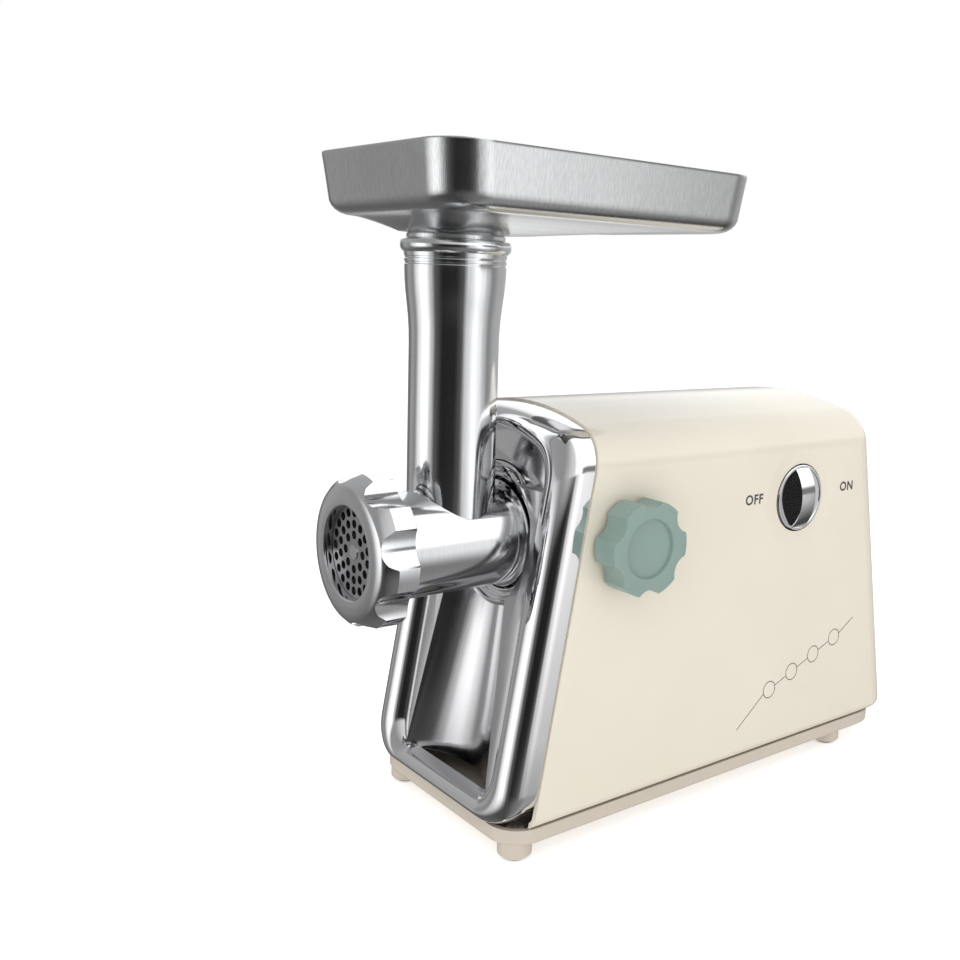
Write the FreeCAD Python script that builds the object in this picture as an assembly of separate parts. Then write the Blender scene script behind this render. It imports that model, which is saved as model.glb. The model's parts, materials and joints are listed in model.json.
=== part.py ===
"""Electric meat grinder: a motor and gearbox in a cream housing drive a removable grinding head.

Sizes are in millimetres and +Z is up. -Y is the grinding end and +X is the side with the switch
and the locking knob. The pieces are drawn about the centre of the four feet, with X = 0 the plane of
the barrel, the feed tube and the motor. The files are written with the origin on the floor at the
centre of the whole outline.
"""
import FreeCAD, Part
import math
import os
from FreeCAD import Vector

X_AXIS = Vector(1, 0, 0)
Y_AXIS = Vector(0, 1, 0)
Z_AXIS = Vector(0, 0, 1)

# --- housing -----------------------------------------------------------------------------------
BODY_WIDTH = 151.0           # across the two sides
BODY_TOP = 249.5             # crown of the top at X = 0
CROWN_DROP = 7.0             # how far the crown falls before the corners begin
CORNER_RADIUS = 26.0         # where the sides turn into the top
SHELL_BOTTOM = 20.0          # lower edge of the shell, on the base tray
SHELL_WALL = 3.0
FRONT_Y = -100.0             # front edge of the shell at the height RAKE_Z
RAKE_Z = 225.0
FRONT_RAKE = 0.18            # how far the front edge runs forward per unit of height lost
REAR_Y = 150.0               # rear face at the height REAR_Z
REAR_Z = 220.0
REAR_RAKE = 0.2
REAR_ROUND = 18.0            # rounding of the rear edges
LOW_ROUND = 7.0              # rounding of the lower edges of the shell

# --- base and feet -----------------------------------------------------------------------------
TRAY_FLOOR = 10.0            # underside of the base tray
TRAY_INSET = 3.0             # the base tray stands in from the shell by this much
TRAY_WALL = 3.0
FOOT_X = 59.4
FOOT_Y = 137.4
FOOT_STUB_RADIUS = 9.8
FOOT_PAD_RADIUS = 7.0
FOOT_PAD_HEIGHT = 3.5
FOOT_SOCKET_DEPTH = 2.0      # the pad is set into its stub by this much
SCREW_RADIUS = 1.9
SCREW_HEAD_RADIUS = 3.6
BASE_SCREW_Z = 11.0          # under the heads of the screws in the feet
BASE_SCREW_LENGTH = 18.0
POST_RADIUS = 5.0            # the posts that those screws are driven into
POST_BOTTOM = 17.4
POST_HEIGHT = 28.0

# --- front cover -------------------------------------------------------------------------------
COVER_GAP = 1.2              # the shell's edge stands out from the cover by this much
COVER_DEPTH = 20.0           # the rim's crest in front of the shell's edge
COVER_SEAT = 0.4             # seam between the shell's edge and the cover
RIM_SIDE = 27.0              # width of the rim at the sides
RIM_TOP = 17.0
RIM_BOTTOM = 11.0
RIM_OUTER_ROUND = 7.0
RIM_INNER_ROUND = 3.0
COVER_LOW_CORNER = 22.0
PANEL_DEPTH = 9.0            # front of the recessed panel, in front of the shell's edge
PANEL_WALL = 2.5
STEP_HEIGHT = 4.0            # the lower panel stands this far in front of the upper one
SCOOP_TOP_RADIUS = 30.0
SCOOP_FLARE = 0.22           # growth of the scoop's radius per unit of height lost
SCOOP_LEAN = 0.19            # the scoop's axis leans this much further forward than the panel
SCOOP_SINK = 14.0            # how far the scoop's axis lies in front of the panel

# --- grinding head -----------------------------------------------------------------------------
AXIS_Z = 170.9               # barrel, auger and output shaft
BARREL_RADIUS = 29.8
BARREL_BORE = 26.4
BARREL_REAR = -112.0
SPIGOT_RADIUS = 27.0
SPIGOT_REAR = -77.0
THREAD_RADIUS = 31.0
THREAD_LENGTH = 11.0
THREAD_PITCH = 3.0
THREAD_DEPTH = 1.0
TUBE_Y = -146.5
TUBE_RADIUS = 25.0
TUBE_SHOULDER_RADIUS = 28.0
TUBE_BEAD_RADIUS = 30.3
TUBE_TAPER_Z = 282.0         # the tube begins to flare here
TUBE_SHOULDER_Z = 318.0      # and is at its shoulder radius here
TUBE_TOP = 339.2
TUBE_BEAD_HEIGHT = 5.0
TUBE_BORE = 23.0
TUBE_MOUTH_BORE = 25.4       # wider bore at the top, where the tray's neck sits
TUBE_MOUTH_DEPTH = 14.0
THROAT_RADIUS = 23.8         # the bore opens to this where it breaks into the barrel
THROAT_TOP = 200.0

# --- ring nut and cutting parts ----------------------------------------------------------------
NUT_LOBES = 8
NUT_PHASE = 10.1             # degrees from +Z towards +X to the first lobe
NUT_TIP_RADIUS = 42.8
NUT_VALLEY_RADIUS = 37.6
NUT_BACK = -190.6
NUT_FRONT = -212.2
NUT_CONE_DROP = 8.6          # the front face falls back this much from lip to lobe tips
NUT_SHOULDER_RADIUS = 37.0   # where the front face bends back to the lobe tips
NUT_SHOULDER_DROP = 1.0
NUT_OPENING_RADIUS = 25.5
NUT_LIP_RADIUS = 29.5
PLATE_RADIUS = 30.8
PLATE_THICKNESS = 5.0
PLATE_GAP = 0.4
PLATE_HOLE_RADIUS = 2.4
PIN_RADIUS = 4.0
RUNNING_GAP = 0.06           # radial gap of a shaft in its bore
AUGER_CLEARANCE = 0.6
AUGER_CORE_FRONT = 13.0
AUGER_CORE_REAR = 9.0
AUGER_PITCH = 24.0
KNIFE_LENGTH = 24.0
KNIFE_THICKNESS = 7.0
DRIVE_SQUARE = 10.0          # across flats of the auger's tail

# --- tray --------------------------------------------------------------------------------------
TRAY_TOP = 385.5
TRAY_HALF_X = 76.0
TRAY_FRONT = -199.0
TRAY_REAR = 18.0
TRAY_CORNER = 25.0
TRAY_WALL_HEIGHT = 34.0
TRAY_TAPER = 3.0
TRAY_SHEET = 1.4
TRAY_BOTTOM_ROUND = 10.0
TRAY_FALL = 9.0              # fall of the bottom from its edge to the neck
TRAY_NECK_RADIUS = 24.9
TRAY_NECK_BOTTOM = 327.0

# --- locking knob and switch -------------------------------------------------------------------
KNOB_Y = -75.9
KNOB_Z = 175.8
KNOB_FACE_X = 94.0
KNOB_LENGTH = 16.5
KNOB_RADIUS = 27.0
KNOB_SCALLOPS = 6
SCALLOP_RADIUS = 10.0
SCALLOP_DEPTH = 4.0
KNOB_DISH_RADIUS = 16.6
KNOB_DISH_DEPTH = 2.0
LOCK_SCREW_RADIUS = 4.0
LOCK_PITCH = 1.5
DIAL_Y = 71.5
DIAL_Z = 187.5
DIAL_RADIUS = 21.4
DIAL_GAP = 0.9
DIAL_DISH_RADIUS = 33.0
DIAL_DISH_DEPTH = 1.4
GRIP_WIDTH = 9.0
GRIP_HEIGHT = 9.0
BRACKET_STAND = 9.3          # back of the switch bracket's plate, in from the shell's inner face
BRACKET_PLATE = 2.0

# --- gear train --------------------------------------------------------------------------------
MOTOR_Z = 75.0
SECOND_AXIS_X = -26.0        # sideways place of the second cluster's axle
MODULE_1 = 1.0               # motor pinion to first cluster
MODULE_2 = 1.25              # first cluster to second cluster
MODULE_3 = 1.75              # second cluster to output gear
PINION_TEETH = 15
WHEEL_TEETH = 60
LAST_PINION_TEETH = 14
LAST_WHEEL_TEETH = 56
GEAR_FACE_1 = 8.0
GEAR_FACE_2 = 10.0
GEAR_FACE_3 = 13.0
GEAR_LAYER_GAP = 2.0
TOOTH_THINNING = 0.16        # tooth thickness given up for backlash, in modules
GEARBOX_FRONT = -66.0
GEARBOX_WALL = 3.5
GEAR_ROOM = 2.0              # free space round the gears in their case
AXLE_RADIUS = 4.0
OUTPUT_SHAFT_RADIUS = 10.0

# --- motor -------------------------------------------------------------------------------------
STATOR_RADIUS = 39.0
STATOR_BORE = 22.2
STATOR_LENGTH = 46.0
ROTOR_RADIUS = 21.6
MOTOR_SHAFT_RADIUS = 4.0
FAN_RADIUS = 33.0
BEARING_OUTER = 11.0
BEARING_WIDTH = 7.0
COMMUTATOR_RADIUS = 12.0
BRUSH_WIDTH = 6.5
BRUSH_TAIL = 21.0            # outer end of each brush, from the motor's axis

SOCKET_RADIUS = 43.0         # the chrome ring round the head's seat
SOCKET_GAP = 0.5             # between that ring and the cover
SLEEVE_RADIUS = 32.5
SLEEVE_FRONT = -106.0
SLEEVE_FLANGE_RADIUS = 42.0
SPIGOT_GAP = 0.35
OUTPUT_BUSH_RADIUS = 14.0
BUSHING_RADIUS = 8.0
LOCK_BOSS_END = 44.0
PAD_TIP_X = SPIGOT_RADIUS + 0.35
PAD_LENGTH = 4.0
PAD_STEM_RADIUS = 1.8
GRIP_BOW_RADIUS = 30.0       # the grip bar's top edge is bowed to this radius
GLAND_X = -40.0
GLAND_Z = 60.0
GLAND_BODY_RADIUS = 8.0
GLAND_BORE = 3.75
GLAND_SHOULDER = 5.0         # the gland's flange reaches this far behind the rear wall
GLAND_NOSE = 9.0
FOOT_STUB_BOTTOM = 1.5
TRAY_FRONT_INSET = 6.0
VENT_STATIONS = [15.0 + 9.0 * index for index in range(8)]
CLEARANCE = 0.4              # general gap between neighbouring pieces of different bodies
NUT_LIP = 4.8                # thickness of the nut's front lip
KNIFE_SQUARE = 9.0
TAIL_BORE = 9.0
TAIL_REAR = -66.0
CHAMBER_REAR = -114.0        # end of the barrel's bore
OUTPUT_FRONT = -78.0         # front end of the output shaft
MOTOR_FRONT = -19.5
TIE_BOLT_X = 42.5
STATOR_FRONT = 4.0

# --- places worked out from the sizes above ----------------------------------------------------
NUT_BORE = THREAD_RADIUS + 0.35
PLATE_FRONT = NUT_FRONT + NUT_LIP + PLATE_GAP
BARREL_FRONT = PLATE_FRONT + PLATE_THICKNESS + CLEARANCE
KNIFE_REAR = PLATE_FRONT + PLATE_THICKNESS + 0.3 + KNIFE_THICKNESS
STAGE_3_FRONT = GEARBOX_FRONT + GEARBOX_WALL + GEAR_LAYER_GAP
STAGE_2_FRONT = STAGE_3_FRONT + GEAR_FACE_3 + GEAR_LAYER_GAP
STAGE_1_FRONT = STAGE_2_FRONT + GEAR_FACE_2 + GEAR_LAYER_GAP
GEARBOX_REAR = STAGE_1_FRONT + GEAR_FACE_1 + GEAR_LAYER_GAP
COVER_REAR = GEARBOX_REAR + GEARBOX_WALL
STATOR_REAR = STATOR_FRONT + STATOR_LENGTH
BRUSH_Y = STATOR_REAR + 14.0
MOTOR_REAR = STATOR_REAR + 38.0
BRACKET_BACK = BODY_WIDTH / 2 - SHELL_WALL - BRACKET_STAND
GLAND_END = REAR_Y + REAR_RAKE * (REAR_Z - GLAND_Z) + GLAND_SHOULDER + GLAND_NOSE
OUTLINE_CENTRE_X = (KNOB_FACE_X - BODY_WIDTH / 2) / 2
OUTLINE_CENTRE_Y = (NUT_FRONT + GLAND_END) / 2


def meeting_point(first, first_reach, second, second_reach):
    """The point at given distances from two others, on the +X side of the line between them."""
    dx, dz = second[0] - first[0], second[1] - first[1]
    span = math.hypot(dx, dz)
    along = (first_reach ** 2 - second_reach ** 2 + span ** 2) / (2 * span)
    aside = math.sqrt(first_reach ** 2 - along ** 2)
    return (first[0] + (dx * along + dz * aside) / span, first[1] + (dz * along - dx * aside) / span)


REACH_1 = MODULE_1 * (PINION_TEETH + WHEEL_TEETH) / 2
REACH_2 = MODULE_2 * (PINION_TEETH + WHEEL_TEETH) / 2
REACH_3 = MODULE_3 * (LAST_PINION_TEETH + LAST_WHEEL_TEETH) / 2
OUTPUT_AXIS = (0.0, AXIS_Z)
SECOND_AXIS = (SECOND_AXIS_X, AXIS_Z - math.sqrt(REACH_3 ** 2 - SECOND_AXIS_X ** 2))
MOTOR_AXIS = (0.0, MOTOR_Z)
FIRST_AXIS = meeting_point(MOTOR_AXIS, REACH_1, SECOND_AXIS, REACH_2)


# --- helpers -----------------------------------------------------------------------------------
def place(shape, origin, direction):
    """Turn a shape built along +Z to point along direction, and move it to origin."""
    turned = shape.copy()
    turned.Placement = FreeCAD.Placement(Vector(*origin), FreeCAD.Rotation(Z_AXIS, direction))
    return turned


def rod(radius, y_start, y_end, x=0.0, z=AXIS_Z):
    """A cylinder along Y between two stations."""
    low = min(y_start, y_end)
    return Part.makeCylinder(radius, abs(y_end - y_start), Vector(x, low, z), Y_AXIS)


def pipe(outer, inner, y_start, y_end, x=0.0, z=AXIS_Z):
    """A tube along Y between two stations."""
    return rod(outer, y_start, y_end, x, z).cut(rod(inner, y_start, y_end, x, z))


def box(x_range, y_range, z_range):
    """A block given by its ranges along the three axes."""
    size = [high - low for low, high in (x_range, y_range, z_range)]
    return Part.makeBox(*size, Vector(x_range[0], y_range[0], z_range[0]))


def revolve(points, origin, direction):
    """Turn a closed outline of (radius, height) points about an axis."""
    corners = [Vector(radius, 0, height) for radius, height in points]
    face = Part.Face(Part.makePolygon(corners + corners[:1]))
    return place(face.revolve(Vector(), Z_AXIS, 360), origin, direction)


def rounded_prism(half_x, half_y, radius, height):
    """An upright prism with a rounded rectangle as its section, on Z = 0."""
    block = Part.makeBox(2 * half_x, 2 * half_y, height, Vector(-half_x, -half_y, 0))
    upright = [edge for edge in block.Edges if abs(edge.tangentAt(0).z) > 0.9]
    return block.makeFillet(radius, upright)


def front_plane_y(z, forward=0.0):
    """Y of the raked front plane at a height, moved forward by a distance."""
    return FRONT_Y - FRONT_RAKE * (RAKE_Z - z) - forward


def rear_plane_y(z):
    """Y of the sloping rear face at a height."""
    return REAR_Y + REAR_RAKE * (REAR_Z - z)


def front_outline(inset, bottom, low_radius):
    """The closed wire of the body seen from the front: flat sides, crowned top, round corners."""
    half = BODY_WIDTH / 2 - inset
    top = BODY_TOP - inset
    corner = CORNER_RADIUS - inset
    side_z = top - CROWN_DROP - corner
    centre = Vector(half - corner, 0, side_z)
    crown_radius = (centre.x ** 2 + CROWN_DROP ** 2) / (2 * CROWN_DROP) + corner
    lean = math.asin(centre.x / (crown_radius - corner))
    meeting = centre + Vector(math.sin(lean), 0, math.cos(lean)) * corner
    turn = (lean + math.pi / 2) / 2
    middle = centre + Vector(math.sin(turn), 0, math.cos(turn)) * corner
    right = [Part.Arc(meeting, middle, Vector(half, 0, side_z)).toShape(),
             Part.makeLine(Vector(half, 0, side_z), Vector(half, 0, bottom + low_radius))]
    if low_radius > 0:
        diagonal = low_radius * (1 - math.sqrt(0.5))
        right.append(Part.Arc(Vector(half, 0, bottom + low_radius),
                              Vector(half - diagonal, 0, bottom + diagonal),
                              Vector(half - low_radius, 0, bottom)).toShape())
    left = [edge.mirror(Vector(), X_AXIS) for edge in right]
    crown = Part.Arc(Vector(-meeting.x, 0, meeting.z), Vector(0, 0, top), meeting).toShape()
    floor = Part.makeLine(Vector(half - low_radius, 0, bottom), Vector(low_radius - half, 0, bottom))
    return Part.Wire(Part.__sortEdges__([crown, floor] + right + left))


def front_prism(wire, y_start, y_end):
    """Run a front outline along Y."""
    face = Part.Face(wire)
    face.translate(Vector(0, y_start, 0))
    return face.extrude(Vector(0, y_end - y_start, 0))


def side_prism(points, half_width):
    """Run an outline of (y, z) points across the body."""
    corners = [Vector(-half_width, y, z) for y, z in points]
    face = Part.Face(Part.makePolygon(corners + corners[:1]))
    return face.extrude(Vector(2 * half_width, 0, 0))


def sheared_prism(wire, behind, ahead):
    """Run a front outline along Y between two planes parallel to the raked front.

    behind and ahead are distances in front of the shell's edge.
    """
    tall = BODY_TOP + 50
    deep = front_prism(wire, front_plane_y(0, ahead) - 5, front_plane_y(tall, behind) + 5)
    slab = side_prism([(front_plane_y(-5, ahead), -5), (front_plane_y(-5, behind), -5),
                       (front_plane_y(tall, behind), tall), (front_plane_y(tall, ahead), tall)],
                      BODY_WIDTH)
    return deep.common(slab)


# --- housing and base --------------------------------------------------------------------------
def body_block(inset, front_inset):
    """The body's outer form, or its inside when inset by the wall."""
    prism = front_prism(front_outline(inset, -40, 0), -250, 250)
    tall = BODY_TOP + 50
    profile = [(front_plane_y(-60) + front_inset, -60), (rear_plane_y(-60) - inset, -60),
               (rear_plane_y(tall) - inset, tall), (front_plane_y(tall) + front_inset, tall)]
    block = prism.common(side_prism(profile, BODY_WIDTH))
    rear_edges = [edge for edge in block.Edges
                  if all(abs(v.Y - rear_plane_y(v.Z) + inset) < 0.01 for v in edge.Vertexes)
                  and edge.BoundBox.ZMax > 0]
    block = block.makeFillet(REAR_ROUND - inset, rear_edges)
    block = block.cut(box((-200, 200), (-300, 300), (-60, SHELL_BOTTOM + inset)))
    low_edges = [edge for edge in block.Edges if edge.BoundBox.ZMax < SHELL_BOTTOM + inset + 0.01
                 and edge.BoundBox.YMax > front_plane_y(SHELL_BOTTOM) + front_inset + 1]
    return block.makeFillet(LOW_ROUND - inset, low_edges)


def main_housing():
    """The one-piece shell, open at the front, the bottom and the holes for its fittings."""
    shell = body_block(0, 0).cut(body_block(SHELL_WALL, -20))
    inner_half = BODY_WIDTH / 2 - SHELL_WALL - 2
    mouth = box((-inner_half, inner_half), (front_plane_y(SHELL_BOTTOM) - 5, rear_plane_y(30) - 12),
                (0, SHELL_BOTTOM + SHELL_WALL + 2))
    posts, post_holes = screw_posts(FOOT_Y)
    shell = shell.cut(mouth).fuse(posts).cut(post_holes)
    half = BODY_WIDTH / 2
    knob_hole = Part.makeCylinder(BUSHING_RADIUS, 20, Vector(half - 10, KNOB_Y, KNOB_Z), X_AXIS)
    dial_hole = Part.makeCylinder(DIAL_RADIUS + DIAL_GAP, 20, Vector(half - 10, DIAL_Y, DIAL_Z), X_AXIS)
    ball = (DIAL_DISH_RADIUS ** 2 + DIAL_DISH_DEPTH ** 2) / (2 * DIAL_DISH_DEPTH)
    dish = Part.makeSphere(ball, Vector(half + ball - DIAL_DISH_DEPTH, DIAL_Y, DIAL_Z))
    cord_hole = rod(GLAND_BODY_RADIUS + 0.2, rear_plane_y(GLAND_Z) - 20, rear_plane_y(GLAND_Z) + 20,
                    GLAND_X, GLAND_Z)
    return shell.cut([knob_hole, dial_hole, dish, cord_hole])


def base_tray():
    """The tray that closes the body below: skirt, floor, foot stubs, vents and motor bosses."""
    half = BODY_WIDTH / 2 - TRAY_INSET
    front = front_plane_y(SHELL_BOTTOM, COVER_DEPTH) + TRAY_FRONT_INSET
    rear = rear_plane_y(SHELL_BOTTOM) - 9
    middle = (front + rear) / 2
    outer = rounded_prism(half, (rear - front) / 2, 20, SHELL_BOTTOM - TRAY_FLOOR - COVER_SEAT)
    inner = rounded_prism(half - TRAY_WALL, (rear - front) / 2 - TRAY_WALL, 17, 30)
    outer.translate(Vector(0, middle, TRAY_FLOOR))
    inner.translate(Vector(0, middle, TRAY_FLOOR + TRAY_WALL))
    low_edges = [edge for edge in outer.Edges if edge.BoundBox.ZMax < TRAY_FLOOR + 0.1]
    tray = outer.makeFillet(3.0, low_edges).cut(inner)
    for x, y in foot_places():
        stub = Part.makeCylinder(FOOT_STUB_RADIUS, TRAY_FLOOR + TRAY_WALL - FOOT_STUB_BOTTOM,
                                 Vector(x, y, FOOT_STUB_BOTTOM))
        boss = Part.makeCylinder(POST_RADIUS, POST_BOTTOM - CLEARANCE - TRAY_FLOOR, Vector(x, y, TRAY_FLOOR))
        tray = tray.fuse(stub.makeChamfer(1.2, [stub.Edges[2]])).fuse(boss)
        socket = Part.makeCylinder(FOOT_PAD_RADIUS, FOOT_SOCKET_DEPTH, Vector(x, y, FOOT_STUB_BOTTOM))
        hole = Part.makeCylinder(SCREW_RADIUS + 0.3, 30, Vector(x, y, 0))
        well = Part.makeCylinder(SCREW_HEAD_RADIUS + 0.4, BASE_SCREW_Z, Vector(x, y, 0))
        tray = tray.cut(socket.fuse([hole, well]))
    vents = [box((-22, 22), (y, y + 3.5), (0, 30)) for y in VENT_STATIONS]
    return tray.cut(vents).removeSplitter()


def foot_places():
    """The four foot centres, left to right and front to rear."""
    return [(x, y) for y in (-FOOT_Y, FOOT_Y) for x in (-FOOT_X, FOOT_X)]


def screw_posts(y):
    """Two posts above the feet at y, each with a web out to the side wall, and their screw holes."""
    posts = []
    holes = []
    for side in (-1, 1):
        x = side * FOOT_X
        wall_x = side * (BODY_WIDTH / 2 - SHELL_WALL)
        z_range = (POST_BOTTOM, POST_BOTTOM + POST_HEIGHT)
        posts.append(Part.makeCylinder(POST_RADIUS, POST_HEIGHT, Vector(x, y, POST_BOTTOM)))
        posts.append(box(sorted((x, wall_x)), (y - 1, y + 1), (SHELL_BOTTOM + SHELL_WALL, z_range[1])))
        holes.append(Part.makeCylinder(SCREW_RADIUS, POST_HEIGHT - 3, Vector(x, y, POST_BOTTOM)))
    return posts, holes


def foot_pad(x, y):
    """A rubber pad pushed into its stub, hollow below the screw."""
    pad = Part.makeCylinder(FOOT_PAD_RADIUS - 0.05, FOOT_PAD_HEIGHT, Vector(x, y, 0))
    pad = pad.makeChamfer(0.6, [edge for edge in pad.Edges if edge.BoundBox.ZMax < 0.01])
    return pad.cut(Part.makeCylinder(SCREW_HEAD_RADIUS + 0.4, 10, Vector(x, y, 1.2)))


def screw(origin, direction, length, radius=SCREW_RADIUS, head=SCREW_HEAD_RADIUS):
    """A pan-head screw: origin under its head, direction along its shank."""
    shank = Part.makeCylinder(radius, length)
    cap = Part.makeCylinder(head, 2.2, Vector(0, 0, -2.2))
    slot = Part.makeBox(2 * head, 1.0, 1.0, Vector(-head, -0.5, -2.2))
    cross = Part.makeBox(1.0, 2 * head * 0.6, 1.0, Vector(-0.5, -head * 0.6, -2.2))
    return place(cap.fuse(shank).cut(slot).cut(cross), origin, direction)


def group(solids):
    """Several separate solids as one compound."""
    return Part.makeCompound(solids)


# --- front cover -------------------------------------------------------------------------------
def front_cover():
    """The chrome-plated rim with its recessed panel, the hole for the head and the scoop below it."""
    outer_wire = front_outline(COVER_GAP, SHELL_BOTTOM + 0.3, COVER_LOW_CORNER)
    rim = sheared_prism(outer_wire, COVER_SEAT, COVER_DEPTH)
    crest = [edge for edge in rim.Edges
             if all(abs(v.Y - front_plane_y(v.Z, COVER_DEPTH)) < 0.01 for v in edge.Vertexes)]
    rim = rim.makeFillet(RIM_OUTER_ROUND, crest)
    half = BODY_WIDTH / 2 - RIM_SIDE
    low = SHELL_BOTTOM + RIM_BOTTOM
    high = BODY_TOP - RIM_TOP - CROWN_DROP / 2
    pocket_face = rounded_prism(half, (high - low) / 2, 9, 100)
    pocket = place(pocket_face, (0, 0, (high + low) / 2), Y_AXIS.negative())
    pocket.translate(Vector(0, -60, 0))
    floor_cut = side_prism([(front_plane_y(-5, 60), -5), (front_plane_y(-5, PANEL_DEPTH), -5),
                            (front_plane_y(300, PANEL_DEPTH), 300), (front_plane_y(300, 60), 300)],
                           BODY_WIDTH)
    rim = rim.cut(pocket.common(floor_cut))
    mouth = [edge for edge in rim.Edges
             if all(abs(v.Y - front_plane_y(v.Z, COVER_DEPTH)) < 0.05 for v in edge.Vertexes)
             and edge.BoundBox.XMax < half + 1 and edge.BoundBox.XMin > -half - 1]
    rim = rim.makeFillet(RIM_INNER_ROUND, mouth)
    step = box((-half + 0.01, half - 0.01), (-400, 0), (low + 0.01, AXIS_Z + 34))
    step = step.common(side_prism(
        [(front_plane_y(-5, PANEL_DEPTH + STEP_HEIGHT), -5), (front_plane_y(-5, PANEL_DEPTH - 1), -5),
         (front_plane_y(300, PANEL_DEPTH - 1), 300),
         (front_plane_y(300, PANEL_DEPTH + STEP_HEIGHT), 300)], BODY_WIDTH))
    cover = rim.fuse(step)
    hollow_wire = front_outline(COVER_GAP + 3, SHELL_BOTTOM + 3, COVER_LOW_CORNER - 3)
    hollow = sheared_prism(hollow_wire, COVER_SEAT - 30, PANEL_DEPTH - PANEL_WALL)
    cover = cover.cut(hollow)
    skin = scoop(PANEL_WALL).common(sheared_prism(hollow_wire, COVER_SEAT - 30, PANEL_DEPTH))
    cover = cover.fuse(skin).cut(scoop(0))
    posts, post_holes = screw_posts(-FOOT_Y)
    hole = rod(SOCKET_RADIUS + SOCKET_GAP, -200, -60)
    return cover.fuse(posts).cut([hole] + post_holes).removeSplitter()


def scoop(grow):
    """The half-cone below the barrel, grown by a wall, down to the rim's lower member."""
    height = AXIS_Z - SHELL_BOTTOM
    centre_y = front_plane_y(AXIS_Z, PANEL_DEPTH + STEP_HEIGHT + SCOOP_SINK)
    slope = FRONT_RAKE + SCOOP_LEAN
    length = height * math.sqrt(1 + slope ** 2)
    cone = Part.makeCone(SCOOP_TOP_RADIUS + grow, SCOOP_TOP_RADIUS + SCOOP_FLARE * height + grow, length)
    cone = place(cone, (0, centre_y, AXIS_Z), Vector(0, -slope, -1))
    return cone.common(box((-100, 100), (-300, 100), (SHELL_BOTTOM + RIM_BOTTOM - grow, AXIS_Z)))


def socket_ring():
    """The stepped chrome ring round the place where the head goes in."""
    back = front_plane_y(AXIS_Z, 0) + 2
    ring = revolve([(SOCKET_RADIUS - 3, 0), (SOCKET_RADIUS, 0), (SOCKET_RADIUS, 9), (SOCKET_RADIUS - 1, 10),
                    (SOCKET_RADIUS - 3, 10), (SOCKET_RADIUS - 4, 7), (SOCKET_RADIUS - 6, 7),
                    (SOCKET_RADIUS - 7, 5.5), (SOCKET_RADIUS - 9.5, 5.5), (SOCKET_RADIUS - 9.5, 0)],
                   (0, back, AXIS_Z), Y_AXIS.negative())
    return ring


def drive_socket():
    """The metal sleeve on the gearbox that takes the head's spigot and the locking screw."""
    sleeve = rod(SLEEVE_RADIUS, SLEEVE_FRONT, GEARBOX_FRONT).fuse(
        rod(SLEEVE_FLANGE_RADIUS, GEARBOX_FRONT - 4, GEARBOX_FRONT))
    boss = Part.makeCylinder(9, LOCK_BOSS_END, Vector(0, KNOB_Y, KNOB_Z), X_AXIS)
    sleeve = sleeve.fuse(boss).cut(rod(SPIGOT_RADIUS + SPIGOT_GAP, SLEEVE_FRONT - 1, GEARBOX_FRONT - 4))
    sleeve = sleeve.cut(rod(OUTPUT_BUSH_RADIUS, SLEEVE_FRONT, GEARBOX_FRONT + 1))
    screw_hole = Part.makeCylinder(LOCK_SCREW_RADIUS + CLEARANCE, 80, Vector(0, KNOB_Y, KNOB_Z), X_AXIS)
    holes = [rod(SCREW_RADIUS, GEARBOX_FRONT - 10, GEARBOX_FRONT + 10, x, z)
             for x, z in socket_screw_places()]
    return sleeve.cut([screw_hole] + holes)


def socket_screw_places():
    """The four screws of the drive socket's flange, as (x, z)."""
    radius = (SLEEVE_RADIUS + SLEEVE_FLANGE_RADIUS) / 2
    angles = [math.radians(45 + 90 * index) for index in range(4)]
    return [(radius * math.cos(a), AXIS_Z + radius * math.sin(a)) for a in angles]


def lock_bushing():
    """The bushing in the housing's side that the locking screw runs through."""
    half = BODY_WIDTH / 2
    body = Part.makeCylinder(BUSHING_RADIUS - 0.1, 8, Vector(half - 7, KNOB_Y, KNOB_Z), X_AXIS)
    collar = Part.makeCylinder(BUSHING_RADIUS + 2, 1.2, Vector(half, KNOB_Y, KNOB_Z), X_AXIS)
    bore = Part.makeCylinder(LOCK_SCREW_RADIUS + CLEARANCE, 40, Vector(half - 20, KNOB_Y, KNOB_Z), X_AXIS)
    return body.fuse(collar).cut(bore)


# --- locking knob ------------------------------------------------------------------------------
def lock_knob():
    """The scalloped knob with a shallow dish in its face."""
    back = KNOB_FACE_X - KNOB_LENGTH
    knob = Part.makeCylinder(KNOB_RADIUS, KNOB_LENGTH, Vector(back, KNOB_Y, KNOB_Z), X_AXIS)
    reach = KNOB_RADIUS + SCALLOP_RADIUS - SCALLOP_DEPTH
    cutters = []
    for index in range(KNOB_SCALLOPS):
        angle = math.radians(90 + 360 / KNOB_SCALLOPS * index)
        centre = Vector(back - 1, KNOB_Y + reach * math.cos(angle), KNOB_Z + reach * math.sin(angle))
        cutters.append(Part.makeCylinder(SCALLOP_RADIUS, KNOB_LENGTH + 2, centre, X_AXIS))
    knob = knob.cut(cutters)
    rims = [edge for edge in knob.Edges if edge.BoundBox.XMin > KNOB_FACE_X - 0.01]
    knob = knob.makeChamfer(0.8, rims)
    dish = Part.makeCylinder(KNOB_DISH_RADIUS, 10, Vector(KNOB_FACE_X - KNOB_DISH_DEPTH, KNOB_Y, KNOB_Z),
                             X_AXIS)
    hole = Part.makeCylinder(LOCK_SCREW_RADIUS, KNOB_LENGTH - 6, Vector(back, KNOB_Y, KNOB_Z), X_AXIS)
    return knob.cut([dish, hole])


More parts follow.
